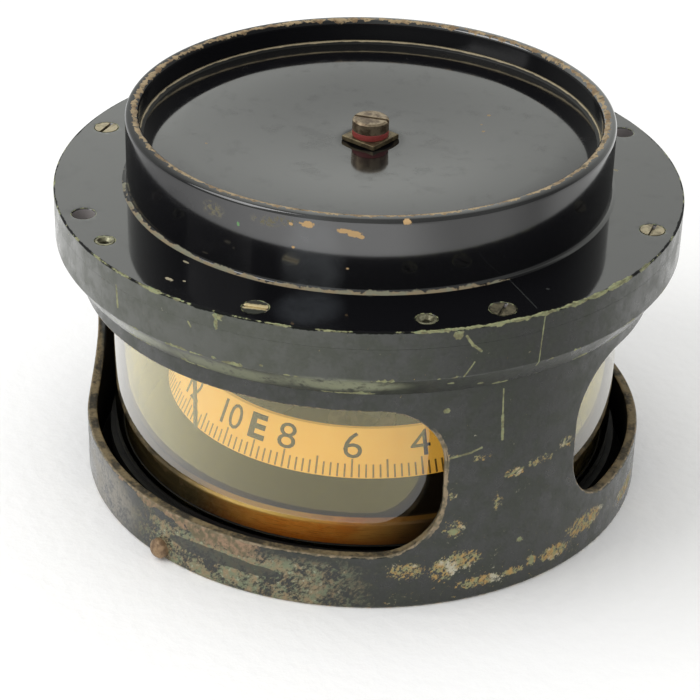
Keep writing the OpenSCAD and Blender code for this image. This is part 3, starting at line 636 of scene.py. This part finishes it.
scraped = mixed(step_up(blotch, 0.54, 0.66), scraped, (0.5, 0.47, 0.36))
olive = use(bare_metal, Point=point, Size=1.8, Brown=(0.16, 0.15, 0.085), Green=(0.23, 0.27, 0.16), **OLIVE)
worn_brown = mixed(step_up(fine * 0.5 + blotch, 0.62, 0.86), (0.045, 0.04, 0.031), (0.21, 0.165, 0.095))
corroded = (lip | gritty) * (1 - streak * 0.85)
tone = mixed(gritty * corroded, tone, patina)
tone = mixed(lip * corroded, tone, copper)
tone = mixed((flecked | foot_wear) * outside, tone, scraped)
tone = mixed(ring_marks | side_marks | edge_chips | edges[0] | edges[1], tone, olive["Color"])
tone = mixed(cut_face, tone, worn_brown)
tone = mixed(window_wear, tone, mixed(step_up(tint, 0.42, 0.58), (0.3, 0.235, 0.155), (0.15, 0.13, 0.085)))
tone = mixed(clamped(edge_dark - edge_chips), tone, (0.004, 0.005, 0.004))
bare = (corroded | flecked | foot_wear | side_marks | ring_marks | edge_chips | edge_dark | cut_face
        | window_wear | edges[0] | edges[1])
rough = (1 - outside) * 0.4 + (bare * 0.15 + ramp(skin["Gloss"], 0.3, 0.7, 0.38, 0.52))
feed(shader, Base_Color=tone, Roughness=rough, Metallic=bare * 0.2)
scuffed = step_up(fine * 0.35 + blotch, 0.52, 0.84) * 0.55
glazed(shader, bare | scuffed | 1 - outside)
# only the deepest wear has relief: more masks than these are too much for one finish
pitted = corroded | flecked | edge_chips
bumped(shader, pitted * (fine * 2.2 + -1.3) + skin["Height"], 0.42, 0.14)
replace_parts(made(cage, "guard_cage_casting", "case", "cage_enamel", satin_black), "guard_cage")


# Flange plate. The head of the bowl: a brass disc screwed down on the cage's ring, with a skirt
# below it that holds the glass. Stove-enamelled gloss black, chipped all round its upper edge.
FLANGE_R, FIXING_R = 70, 65
SCREW_ANGLES = (22.5, 67.5, 112.5, -67.5, -112.5, -157.5)
BUSH_ANGLES = (-15.8, 53.2)
BLIND_ANGLES = (-27.8, 157.5)
PLATE_STEPS, HOLE_STEPS = 180, 32
SCREW_HOLE = ((3, 71.5), (2.85, 71.46), (2.74, 71.36), (1.45, 70.15), (1.45, 61.3))
BUSH_HOLE = ((2.4, 71.5), (2.25, 71.46), (2.16, 71.36), (2.15, 64.5))
BLIND_HOLE = ((2.95, 71.5), (2.65, 71.42), (2.5, 71.25), (2.45, 71), (2.45, 61.5))
OUTER_LOOP, INNER_LOOP, SIDE_FROM = 69.3, 54.8, 69


def fixing(angle):
    a = math.radians(angle)
    return FIXING_R * math.sin(a), -FIXING_R * math.cos(a)


def clear_of_holes(x, y, grow, margin):
    return all(math.hypot(x - c[0], y - c[1]) > line[0][0] * grow + margin for c, line in holes)


plate = bmesh.new()
holes = [(fixing(a), line) for angles, line in (
    (SCREW_ANGLES, SCREW_HOLE), (BUSH_ANGLES, BUSH_HOLE), (BLIND_ANGLES, BLIND_HOLE)) for a in angles]
turn = [2 * math.pi * k / PLATE_STEPS - math.pi for k in range(PLATE_STEPS)]
hole_turn = [2 * math.pi * k / HOLE_STEPS for k in range(HOLE_STEPS)]
loops = [[(r * math.sin(a), -r * math.cos(a)) for a in turn] for r in (OUTER_LOOP, INNER_LOOP)]
loops += [[(x + line[0][0] * math.cos(a), y + line[0][0] * math.sin(a)) for a in hole_turn]
          for (x, y), line in holes]
spare = [(r * math.sin(a), -r * math.cos(a)) for r in (57.5, 60.5, 63, 65, 67.2) for a in turn[::2]]
spare = [(x, y) for x, y in spare if clear_of_holes(x, y, 1, 0.7)]
filled(plate, loops, spare,
       lambda x, y: INNER_LOOP - 0.02 < math.hypot(x, y) and clear_of_holes(x, y, 0.99, 0),
       lambda x, y: (x * MM, y * MM, FLANGE_TOP * MM))
for (x, y), line in holes:
    rings = [[plate.verts.new(((x + r * math.cos(a)) * MM, (y + r * math.sin(a)) * MM, z * MM))
              for a in hole_turn] for r, z in line]
    bridged(plate, rings)
    plate.faces.new(rings[-1])
spun(plate, softened([
    (OUTER_LOOP, FLANGE_TOP, 0), (FLANGE_R, FLANGE_TOP, 0.55), (FLANGE_R, PLATE_Z, 0.05), (60.1, PLATE_Z, 0),
    (60.1, 56, 0.3), (58.4, 56, 0.2), (58.4, 60, 0), (55.4, 60, 0), (55.4, 56, 0.2), (52, 56, 0.4),
    (52, 66, 0), (49.4, 66, 0), (49.4, 68.4, 0), (52.75, 68.4, 0), (52.75, FLANGE_TOP, 0),
    (INNER_LOOP, FLANGE_TOP, 0)]), PLATE_STEPS, False)

ENAMEL = (0.005, 0.005, 0.006)
gloss_plate, shader, spot = surface("gloss_plate", ENAMEL, 0.12, ior=1.2, Coat_IOR=1.82, Coat_Roughness=0.06)
point, up = spot["Point"], spot["Height"]
x, y, _ = xyz_of(point)
skin = use(paint_skin, Point=point, Peel=2.2, Runs=0)
edge_chips, edge_dark = flange_edge(spot)
rims_worn = 0
for (hole_x, hole_y), line in holes:
    rims_worn = rims_worn | worn(abs(far_off(x - hole_x, y - hole_y) - line[1][0]), 0.05, 0.2, 0.8, point)
top = step_up(up, 71.3, 71.45)
rims_worn = rims_worn * top
scuffs = top * marked(x, y, point, chips=(
    (4.2, -64.4, 1.1, 0.6), (6.95, -62.8, 0.4, 0.3), (1.2, -56.9, 1.1, 0.4), (36.4, 42.7, 0.9, 0.5)))
faint_marks = top * marked(x, y, point, chips=((61.1, -11.9, 0.5, 0.4),),
                           scratches=((52.4, -14.2, 64.6, -19.7, 0.13),))
bore = step_down(up, 71.1, 71.3) * between(spot["Radius"], 60.3, 60.6, 69, 69.2)
olive = use(bare_metal, Point=point, Size=1.6, Brown=(0.13, 0.13, 0.07), Green=(0.18, 0.24, 0.13), **OLIVE)
smear = step_up(cloud(point, 9, 6, 0.62), 0.5, 0.75)
# painted reflection: a soft bluish-grey streak on the front of the plate
painted_streak = zones(x, y, ((32.5, -52.5, 7, 8),)) * cloud(point, 4, 5, 0.6)
tone = mixed(painted_streak, ENAMEL, (0.04, 0.044, 0.049))
tone = mixed(edge_chips | rims_worn, tone, olive["Color"])
tone = mixed(scuffs, tone, (0.36, 0.32, 0.22))
tone = mixed(faint_marks, tone, (0.04, 0.042, 0.04))
tone = mixed(bore, tone, (0.27, 0.25, 0.245))
lost = edge_chips | edge_dark | rims_worn | scuffs | bore
feed(shader, Base_Color=tone, Roughness=lost * 0.35 + ramp(smear, 0, 1, 0.08, 0.26))
glazed(shader, clamped(smear * 0.12 + lost))
bumped(shader, lost * -1.2 + skin["Height"], 0.1, 0.1)
plate_piece = made(plate, "flange_plate", "case", "head_enamel", gloss_plate, satin_black)
for face in plate_piece.data.polygons:
    face.material_index = int(face.normal.z < 0.7 and math.hypot(*face.center[:2]) > SIDE_FROM * MM)
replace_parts(plate_piece, "bowl_head")


# Neck. A ring turned from brass tube and sweated into the flange plate, with a fillet of solder at
# its foot and a ledge inside for the cover. Gloss black, with the rounded rim worn down to brass.
NECK_R, NECK_RI, RIM_Z = 53.9, 50.9, 88.1
NECK_STEPS = 240
neck = bmesh.new()
spun(neck, softened([
    (49.4, 68.5, 0), (52.7, 68.5, 0), (52.7, 71.45, 0), (54.9, 71.45, 0), (54.9, 71.52, 0), (54.35, 71.62, 0),
    (54.05, 71.85, 0), (NECK_R, 72.4, 0), (NECK_R, 80, 0), (NECK_R, RIM_Z, 1.25), (NECK_RI, RIM_Z, 1.25),
    (NECK_RI, 79.2, 0), (49.4, 79.2, 0)], 6), NECK_STEPS, True)
gloss_neck, shader, spot = surface("gloss_neck", ENAMEL, 0.12, ior=1.2, Coat_IOR=2, Coat_Roughness=0.085)
angle, up, point = spot["Angle"], spot["Height"], spot["Point"]
u = angle * math.radians(NECK_R)
skin = use(paint_skin, Point=point, Peel=2.6, Runs=0.25)
from_rim = far_off(spot["Radius"] - (NECK_RI + 0.9), up - RIM_Z)
remnant = cloud(point, 4, 5, 0.6)
rim_wear = worn(cloud(point, 2.2, 5, 0.6) * 3.4 + (from_rim - 1.62), 0.62, 0.35, 1.4, point)
foot_line = remnant * 1.9 + (up - FLANGE_TOP) + between(angle, -60, -20, 60, 92) * -0.75
foot_wear = worn(foot_line, 0.58, 0.25, 1.3, point)
wall_marks = marked(u, up, point, chips=(
    (27.5, 86, 1.5, 0.8), (35.3, 85.4, 1.6, 0.6), (37.2, 84.8, 1.7, 0.8), (38.5, 84.2, 0.8, 0.6),
    (24.7, 80.4, 0.35, 0.3), (47.8, 87.5, 1, 0.7), (24.2, 85.6, 0.5, 0.4), (36, 76.9, 0.3, 0.2)))
wall_marks = wall_marks * step_up(spot["Radius"], 53, 53.4)
smudge = zones(u, up, ((18.6, 85.2, 3.6, 1.4), (22.5, 85.9, 4, 1.2), (6, 84.3, 3, 2)))
smudge = smudge * step_up(cloud(point, 1, 5, 0.7), 0.46, 0.62)
green = marked(u, up, point, chips=((12.3, 82.8, 0.4, 0.5),))
rim_metal = use(bare_metal, Point=point, Size=3, Brass=(0.37, 0.28, 0.165), Brown=(0.22, 0.15, 0.085),
                Green=(0.1, 0.085, 0.055))
foot_metal = mixed(step_up(remnant, 0.42, 0.56), (0.22, 0.215, 0.155), (0.27, 0.215, 0.135))
# painted reflection: the same soft bluish-grey streak on the lower front of the neck
painted_streak = zones(u, up, ((28.5, 78, 7, 12),)) * remnant
tone = mixed(painted_streak, ENAMEL, (0.062, 0.066, 0.07))
tone = mixed(smudge, tone, (0.1, 0.085, 0.035))
tone = mixed(foot_wear, tone, foot_metal)
tone = mixed(rim_wear, tone, rim_metal["Color"])
tone = mixed(wall_marks, tone, (0.5, 0.33, 0.16))
tone = mixed(green, tone, (0.05, 0.2, 0.03))
handled = zones(u, up, ((-3.5, 83.2, 5.5, 2.6),)) * remnant
bare = rim_wear | foot_wear | wall_marks | smudge * 0.6 | handled
feed(shader, Base_Color=tone, Metallic=rim_wear * 0.3,
     Roughness=bare * 0.3 + ramp(skin["Gloss"], 0.35, 0.75, 0.1, 0.22))
# painted shade: the enamel's shine is taken away on the neck's left and on its right
shaded = between(angle, -150, -105, -22, 36) * 0.85 + between(angle, 70, 84, 98, 120) * 0.45
glazed(shader, bare | shaded)
bumped(shader, bare * (rim_metal["Dirt"] * -1.5) + skin["Height"], 0.1, 0.1)
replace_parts(made(neck, "neck_turning", "case", "head_enamel", gloss_neck), "neck_ring")


# Cover. A dished brass disc that closes the chamber, resting on the neck's ledge and puttied in
# round its edge. Gloss black like the head, with handling smears round the filler.
COVER_EDGE_Z, COVER_LOW, COVER_UNDER = 82.4, 80.7, 79.2
COVER_HOLE, DISH_FROM, DISH_TO, COVER_R = 3.55, 7, 41, 50.85
DISH_STEPS = 16
cover = bmesh.new()
dish = [(DISH_FROM + (DISH_TO - DISH_FROM) * k / DISH_STEPS,
         COVER_LOW + (COVER_EDGE_Z - COVER_LOW) * (1 - math.cos(math.pi * k / DISH_STEPS)) / 2)
        for k in range(DISH_STEPS + 1)]
spun(cover, [(COVER_HOLE, COVER_UNDER), (COVER_HOLE, COVER_LOW)] + dish
     + [(COVER_R, COVER_EDGE_Z), (COVER_R, COVER_UNDER)], NECK_STEPS, True)
gloss_cover, shader, spot = surface("gloss_cover", ENAMEL, 0.12, ior=1.2, Coat_IOR=1.76, Coat_Roughness=0.07)
point = spot["Point"]
x, y, _ = xyz_of(point)
skin = use(paint_skin, Point=point, Peel=3, Runs=0)
near_plug = step_down(spot["Radius"], 6, 30)
smear = step_up(near_plug * 0.07 + cloud(point, 6, 6, 0.65), 0.53, 0.68)
specks = step_up(cloud(point, 0.9, 4, 0.7), 0.74, 0.79) | marked(x, y, point, chips=(
    (11.7, 26.6, 0.5, 0.5), (16.1, 19.7, 0.45, 0.45), (13.5, 22, 0.3, 0.3), (-21, -30, 0.4, 0.3)))
grime = worn(spot["Radius"], 7.2, 0.8, 3, point, soft=1.2)
feed(shader, Base_Color=mixed(specks, ENAMEL, (0.22, 0.16, 0.09)),
     Roughness=smear * 0.16 + ramp(skin["Gloss"], 0.3, 0.7, 0.08, 0.16))
glazed(shader, smear * 0.1 + grime * 0.35 | specks)
bumped(shader, skin["Height"], 0.06, 0.1)
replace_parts(made(cover, "cover_disc", "case", "cover_enamel", gloss_cover), "cover_plate")

putty = bmesh.new()
spun(putty, [(r, COVER_EDGE_Z + rise) for r, rise in (
    (NECK_RI + 0.02, -0.3), (NECK_RI + 0.02, 0.75), (50.65, 0.42), (50.35, 0.16), (49.9, 0.04), (49.9, -0.3))],
     NECK_STEPS, True)
old_putty, shader, spot = surface("old_putty", (0.05, 0.045, 0.035), 0.5)
rubbed = cloud(spot["Point"], 3, 5, 0.6)
crest = rubbed * 0.5 + (spot["Height"] - COVER_EDGE_Z)
feed(shader, Base_Color=mixed(step_up(crest, 0.52, 0.68), (0.006, 0.006, 0.005), (0.36, 0.3, 0.185)))
bumped(shader, rubbed, 0.4, 0.15)
made(putty, "cover_putty", "case", "cover_enamel", old_putty)


# Filler. A square brass boss riveted into the cover, a red fibre washer and a slotted brass plug
# that closes the chamber. The brass has gone brown, with bright rubbed edges on the plug.
def eased(node, width, segments=2):
    """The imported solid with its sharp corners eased, to stand for its node."""
    bm = bmesh.new()
    bm.from_mesh(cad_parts[node].data)
    bmesh.ops.remove_doubles(bm, verts=bm.verts, dist=0.001 * MM)
    bmesh.ops.dissolve_limit(bm, angle_limit=math.radians(0.5), verts=bm.verts, edges=bm.edges)
    sharp = [e for e in bm.edges if len(e.link_faces) == 2 and e.calc_face_angle(0) > math.radians(32)]
    bmesh.ops.bevel(bm, geom=sharp, offset=width * MM, segments=segments, profile=0.5, affect="EDGES",
                    clamp_overlap=True)
    return bm


def brass(name, tone, dark, size, roughness, shine=0.9, rub=0.5, fade=0):
    """A tarnished brass finish: bright where it is rubbed, brown in the hollows, faded where it is mirrored."""
    material, shader, spot = surface(name, tone, roughness, metallic=shine)
    point = spot["Point"]
    metal = use(bare_metal, Point=point, Size=size, Brass=tone, Brown=dark,
                Green=tuple(0.5 * a + 0.35 * b for a, b in zip(tone, dark)))
    rubbed = step_up(read(point.tree, "ShaderNodeNewGeometry", "Pointiness"), 0.5, 0.6) * rub
    bright = mixed(rubbed, metal["Color"], [min(1, 1.5 * t) for t in tone])
    feed(shader, Base_Color=mixed(ray(point.tree, "Glossy") * fade, bright, BLACK),
         Roughness=metal["Dirt"] * 0.35 + (roughness - 0.17))
    bumped(shader, metal["Dirt"], 0.25, 0.08)
    return material


def mottled(name, dark, pale, roughness, size, detail, rough, relief=None, stretch=(1, 1, 1), **others):
    """A finish clouded from dark to pale. Returns the material, the shader's inputs and the clouds."""
    material, shader, spot = surface(name, pale, roughness, **others)
    clouds = cloud(spot["Point"], size, detail, rough, stretch)
    feed(shader, Base_Color=mixed(clouds, dark, pale))
    if relief:
        bumped(shader, clouds, *relief)
    return material, shader, clouds


boss_brass = brass("boss_brass", (0.2, 0.16, 0.09), (0.05, 0.035, 0.02), 2, 0.45, 0.7)
plug_brass = brass("plug_brass", (0.34, 0.27, 0.18), (0.1, 0.065, 0.04), 2.4, 0.4, 0.75)
red_fibre, *_ = mottled("red_fibre", (0.12, 0.016, 0.014), (0.36, 0.055, 0.045), 0.6, 0.5, 3, 0.6, (0.3, 0.1),
                        stretch=(0.3, 0.3, 2))
for node, ease, material, slot in (("filler_boss", 0.18, boss_brass, "aged_brass"),
                                   ("filler_washer", 0.2, red_fibre, "red_fibre"),
                                   ("filler_plug", 0.22, plug_brass, "aged_brass")):
    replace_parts(made(eased(node, ease, 3), node + "_worn", "case", slot, material), node)


# Flange fixings. Six countersunk brass screws that hold the head down on the cage, and two brass
# bushes for the dowels of the mounting. Painted over once, then worn back by the screwdriver.
SLOT_TURNS = {22.5: -16, 67.5: 98, 112.5: 69, -67.5: 78}
RUBBED_SCREW, PAINTED_SCREW, SCREW_REACH = 22.5, 67.5, 4
screw_brass = brass("screw_brass", (0.43, 0.37, 0.245), (0.1, 0.08, 0.047), 2.2, 0.36, 0.8, 0.3, 0.85)
painted_brass = brass("painted_brass", (0.17, 0.15, 0.095), (0.02, 0.02, 0.016), 1.2, 0.4, 0.4, 0.3, 0.85)
bush_brass = brass("bush_brass", (0.34, 0.33, 0.22), (0.14, 0.13, 0.08), 1.5, 0.42, 0.7, 0.3, 0.85)
rubbed_screw_highlit, shader, spot = surface("rubbed_screw_highlit", (0.03, 0.032, 0.026), 0.4)
point = spot["Point"]
x, y, _ = xyz_of(point)
# one screw's paint is rubbed off in a bar along its slot, and the bar is painted bright gold as its highlight
slot_bar_highlight = marked(x, y, point, scratches=((23.3, -60.9, 27.1, -58.5, 1.15),))
scored = cloud(point, 0.6, 4, 0.65)
gold_highlight = mixed(scored, (0.46, 0.36, 0.15), (0.95, 0.82, 0.5))
feed(shader, Base_Color=mixed(slot_bar_highlight, (0.035, 0.037, 0.029), gold_highlight), Metallic=slot_bar_highlight * 0.35)
bumped(shader, scored, 0.25, 0.08)
screws = eased("flange_screws", 0.12)
for angle, turn in SLOT_TURNS.items():
    middle = Vector((*fixing(angle), FLANGE_TOP)) * MM
    head = [v for v in screws.verts if (v.co - middle).xy.length < SCREW_REACH * MM]
    bmesh.ops.rotate(screws, verts=head, cent=middle, matrix=Matrix.Rotation(math.radians(turn), 3, "Z"))
screw_piece = made(screws, "flange_screws_worn", "case", "screw_brass", screw_brass, painted_brass,
                   rubbed_screw_highlit)
for face in screw_piece.data.polygons:
    for index, angle in ((1, PAINTED_SCREW), (2, RUBBED_SCREW)):
        if (face.center.xy - Vector(fixing(angle)) * MM).length < SCREW_REACH * MM:
            face.material_index = index
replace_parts(screw_piece, "flange_screws")
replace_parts(made(eased("dowel_bushes", 0.1), "dowel_bushes_worn", "case", "screw_brass", bush_brass),
            "dowel_bushes")


# Index peg. A domed brass rivet in the foot of the cage that marks its fore-and-aft line. Its
# paint is gone and the metal has browned and pitted like the foot round it.
peg_brass = brass("peg_brass", (0.33, 0.22, 0.125), (0.16, 0.1, 0.055), 1.6, 0.6, 0.3, 0.2)
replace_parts(made(eased("index_peg", 0.25, 3), "index_peg_worn", "case", "peg_brass", peg_brass), "index_peg")


# Bowl glass. A plain drawn glass tube, ground flat at both ends and held between the head and the
# lower ring on rubber gaskets. Clear, with the faint warm tint of the filled bowl behind it.
GLASS_R, GLASS_RI, GLASS_LOW, GLASS_HIGH, GLASS_EASE = 57.9, 55.9, 10.4, 59.2, 0.3
GLASS_MID_R, GROUND_END = 56.5, 0.35
GLASS_MIRROR, GLASS_CURVE = 0.075, 2.2


def clear_face(name, tint):
    """One face of the glass: clear straight on, mirror-bright at a glancing angle."""
    material = bpy.data.materials.new(name)
    material.use_nodes = True
    tree = material.node_tree
    tree.nodes.remove(tree.nodes["Principled BSDF"])
    slant = read(tree, "ShaderNodeLayerWeight", "Facing", {"Blend": 0.5})
    mirror = slant ** GLASS_CURVE * (1 - GLASS_MIRROR) + GLASS_MIRROR
    through = read(tree, "ShaderNodeBsdfTransparent", 0, {"Color": (1, 1, 1, 1)})
    shine = read(tree, "ShaderNodeBsdfGlossy", 0, {"Color": tint, "Roughness": 0.02})
    feed(tree.nodes["Material Output"].inputs,
         Surface=read(tree, "ShaderNodeMixShader", 0, {0: mirror, 1: through, 2: shine}))
    return material


def painted(material, *nodes):
    """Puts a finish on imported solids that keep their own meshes."""
    for node in nodes:
        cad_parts[node].material_slots[0].material = material


seal_rubber, *_ = mottled("seal_rubber", (0.004, 0.0035, 0.003), (0.016, 0.013, 0.01), 0.8, 1.2, 4, 0.65,
                          (0.3, 0.1))
painted(seal_rubber, "upper_gasket", "lower_gasket", "base_gasket")
glass = bmesh.new()
spun(glass, softened([(r, z, GLASS_EASE) for r, z in (
    (GLASS_R, GLASS_LOW), (GLASS_R, GLASS_HIGH), (GLASS_RI, GLASS_HIGH), (GLASS_RI, GLASS_LOW))], 3),
     PLATE_STEPS, True)
glass_piece = made(glass, "bowl_glass_tube", "case", "bowl_glass",
                   clear_face("glass_outside", (1, 0.985, 0.95, 1)),
                   clear_face("glass_inside", (1, 0.86, 0.18, 1)), seal_rubber)
for face in glass_piece.data.polygons:
    ground = not GLASS_LOW + GROUND_END < face.center.z / MM < GLASS_HIGH - GROUND_END
    face.material_index = 2 if ground else int(math.hypot(*face.center[:2]) < GLASS_MID_R * MM)
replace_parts(glass_piece, "bowl_glass")


# Lower ring and base. A turned brass ring inside the foot of the glass, lacquered a deep orange
# brown, with its flange and the plate screwed up under it dull black, on a gasket to close the bowl.
lacquer_and_glow, shader, spot = surface("lacquered_ring_and_glow", (0.42, 0.17, 0.03), 0.35, ior=1.35, Coat_Roughness=0.2)
angle, up, point = spot["Angle"], spot["Height"], spot["Point"]
turning = cloud(point, 0.6, 4, 0.6, (0.15, 0.15, 3))
stain = cloud(point, 9, 5, 0.6)
# painted light: the ring shows its lit orange only at the front, where light glows through the bowl, and is
# painted dark brown elsewhere as shade
painted_glow = between(angle, 0, 26, 30, 62)
tone = mixed(step_up(stain, 0.35, 0.65), (0.78, 0.26, 0.028), (0.92, 0.43, 0.075))
tone = mixed(step_up(turning, 0.5, 0.66) * 0.6, tone, (0.3, 0.1, 0.015))
tone = mixed(step_down(up, 10.2, 13) * 0.7, tone, (0.62, 0.15, 0.01))
tone = mixed(painted_glow, (0.085, 0.062, 0.028), tone)
# painted highlight: a yellow line along the ring's top edge at the front
painted_top_highlight = step_up(up, 14.7, 15.7) * between(angle, -12, 18, 22, 46)
tone = mixed(painted_top_highlight, tone, (0.75, 0.5, 0.1))
in_glass = step_up(up, 9.6, 10) * between(spot["Radius"], 53, 53.4, 55.7, 55.9)
feed(shader, Base_Color=mixed(in_glass, INNER_BLACK, tone), Metallic=in_glass * 0.25,
     Coat_Weight=in_glass * 0.5, Roughness=turning * 0.25 + (in_glass * -0.35 + 0.55))
bumped(shader, turning, 0.2, 0.05)
painted(lacquer_and_glow, "lower_ring")
base_brass = brass("base_brass", (0.36, 0.25, 0.11), (0.13, 0.08, 0.04), 6, 0.45, 0.8, 0.2)
painted(base_brass, "base_screws", "pillar_washer", "pillar_nut")
base_black, shader, spot = surface("base_black", (0.006, 0.006, 0.005), 0.6, ior=1.2)
rubbed = cloud(spot["Point"], 5, 6, 0.65)
underneath = step_down(spot["Height"], 4.05, 4.2)
bare = underneath * step_up(rubbed, 0.52, 0.62)
tone = mixed(bare, mixed(underneath, INNER_BLACK, (0.018, 0.018, 0.016)), (0.3, 0.21, 0.1))
feed(shader, Base_Color=tone, Roughness=rubbed * 0.3 + 0.45, Metallic=bare * 0.6)
bumped(shader, rubbed, 0.2, 0.1)
painted(base_black, "base_plate")


# Chamber floor and lubber line. A perforated plate under the expansion chamber with the ring that
# holds it up, and the wire that hangs from the head as the mark the card is read against.
dull_black, shader, grime = mottled("dull_black", (0.006, 0.006, 0.005), (0.024, 0.022, 0.018), 0.6, 3, 5, 0.6,
                                    (0.2, 0.1))
feed(shader, Roughness=grime * 0.3 + 0.4)
painted(dull_black, "baffle_plate", "baffle_ring", "float_dome", "float_floor", "card_spider")
wire_grey, *_ = mottled("wire_grey", (0.035, 0.033, 0.03), (0.1, 0.095, 0.088), 0.5, 0.8, 4, 0.6, (0.2, 0.05),
                        stretch=(1, 1, 0.1))
painted(wire_grey, "lubber_wire")


# Pivot, bearing and magnets. A brass pillar screwed to the base with a hardened steel point, the
# jewel that rides on it in its brass holder, and the steel bar magnets under the float.
pillar_metal = brass("pillar_metal", (0.16, 0.13, 0.075), (0.06, 0.045, 0.025), 4, 0.5, 0.6, 0.3)
steel = brass("magnet_steel", (0.3, 0.3, 0.31), (0.14, 0.13, 0.12), 3, 0.35, 0.95, 0.3)
jewel_red, *_ = mottled("jewel_red", (0.18, 0.008, 0.02), (0.42, 0.04, 0.08), 0.08, 0.8, 3, 0.55, ior=1.76,
                        Coat_Weight=0.5)
painted(pillar_metal, "pivot_pillar", "jewel_holder", "magnet_carrier")
painted(steel, "pivot_pin", "magnet_bars")
painted(jewel_red, "jewel_cup")


# Card. An amber celluloid band, coned inwards and held by the spider's tabs, marked every two degrees
# in black, with tens of degrees in figures and the cardinal points in heavy letters.
CARD_R, CARD_Z, CARD_SLOPE = 45.5, 20.9, math.radians(25)
CARD_READING = 99.9
INK_T, INK_SUNK = 0.06, -0.05
TICK_LOW, TEN_TICK, TWO_TICK = 0.2, (4.2, 0.22), (3.1, 0.2)
FIGURE_Y, FIGURE_TALL = 4.35, 5.7
CARDINALS = {0: "N", 90: "E", 180: "S", 270: "W"}
STRIP, STRIPS = 0.8, 6
AMBER = (0.845, 0.39, 0.036), (0.925, 0.525, 0.085)
# painted light: the card glows faintly in its own amber, standing for daylight that comes through the celluloid
amber_glowing, shader, aged = mottled("card_amber", *AMBER, 0.5, 6, 5, 0.6, Emission_Strength=0.34)
feed(shader, Emission_Color=mixed(aged, *AMBER), Roughness=aged * 0.2 + 0.4)
painted(amber_glowing, "card_ring")


def card_ink(name, dark, pale):
    return mottled(name, dark, pale, 0.6, 0.7, 4, 0.65)[0]


def on_card(x, y, t, reading):
    """A point x mm along and y mm up the card's slope from a reading, t mm out from its face."""
    figure_r = CARD_R - (FIGURE_Y + FIGURE_TALL / 2) * math.sin(CARD_SLOPE)
    a = math.radians(CARD_READING - reading) + x / figure_r
    r = CARD_R - y * math.sin(CARD_SLOPE) + t * math.cos(CARD_SLOPE)
    return (r * MM * math.sin(a), -r * MM * math.cos(a),
            (CARD_Z + y * math.cos(CARD_SLOPE) + t * math.sin(CARD_SLOPE)) * MM)


marks = bmesh.new()
for reading in range(0, 360, 2):
    tall, half = TWO_TICK if reading % 10 else TEN_TICK
    corners = [(x, y, t) for t in (INK_SUNK, INK_T)
               for x, y in ((-half, TICK_LOW), (half, TICK_LOW), (half, tall), (-half, tall))]
    v = [marks.verts.new(on_card(*corner, reading)) for corner in corners]
    for face in ((4, 5, 6, 7), (3, 2, 1, 0), (0, 1, 5, 4), (1, 2, 6, 5), (2, 3, 7, 6), (3, 0, 4, 7)):
        marks.faces.new([v[i] for i in face])
made(marks, "card_ticks", "card", "card_amber",
     card_ink("tick_ink", (0.2, 0.115, 0.025), (0.48, 0.27, 0.055)))


def figure(label, tall, wide, weight):
    """A figure as a thin solid, standing on y = 0 about x = 0 and cut into strips to bend round the card."""
    text = bpy.data.curves.new("figure", "FONT")
    text.body = label
    text.align_x = "CENTER"
    text.size = 10
    text.extrude = 0.5
    text.offset = weight
    text.space_character = 0.86
    text.resolution_u = 3
    shape = bpy.data.objects.new("figure", text)
    scene.collection.objects.link(shape)
    bpy.context.view_layer.update()
    solid = shape.evaluated_get(bpy.context.evaluated_depsgraph_get()).to_mesh()
    bm = bmesh.new()
    bm.from_mesh(solid)
    bpy.data.objects.remove(shape)
    bpy.data.curves.remove(text)
    bmesh.ops.remove_doubles(bm, verts=bm.verts, dist=1e-4)
    low, high = min(v.co.y for v in bm.verts), max(v.co.y for v in bm.verts)
    left, right = min(v.co.x for v in bm.verts), max(v.co.x for v in bm.verts)
    fit = tall / (high - low)
    for v in bm.verts:
        v.co = Vector(((v.co.x - (left + right) / 2) * fit * wide, (v.co.y - low) * fit, v.co.z))
    for k in range(-STRIPS, STRIPS + 1):
        bmesh.ops.bisect_plane(bm, geom=bm.verts[:] + bm.edges[:] + bm.faces[:], plane_co=(k * STRIP, 0, 0),
                               plane_no=(1, 0, 0))
    return bm


letters = bmesh.new()
for reading in range(0, 360, 10):
    if reading not in CARDINALS and reading % 20:
        continue
    label = CARDINALS.get(reading) or str(reading // 10)
    bm = figure(label, FIGURE_TALL, 1.2 if len(label) == 1 else 1.04, 0.35 if reading in CARDINALS else -0.02)
    fresh = {}
    for v in bm.verts:
        t = INK_T if v.co.z > 0 else INK_SUNK
        fresh[v.index] = letters.verts.new(on_card(v.co.x, FIGURE_Y + v.co.y, t, reading))
    for face in bm.faces:
        letters.faces.new([fresh[v.index] for v in face.verts])
    bm.free()
made(letters, "card_figures", "card", "card_amber",
     card_ink("figure_ink", (0.03, 0.026, 0.018), (0.11, 0.09, 0.05)), weld=0.0002)
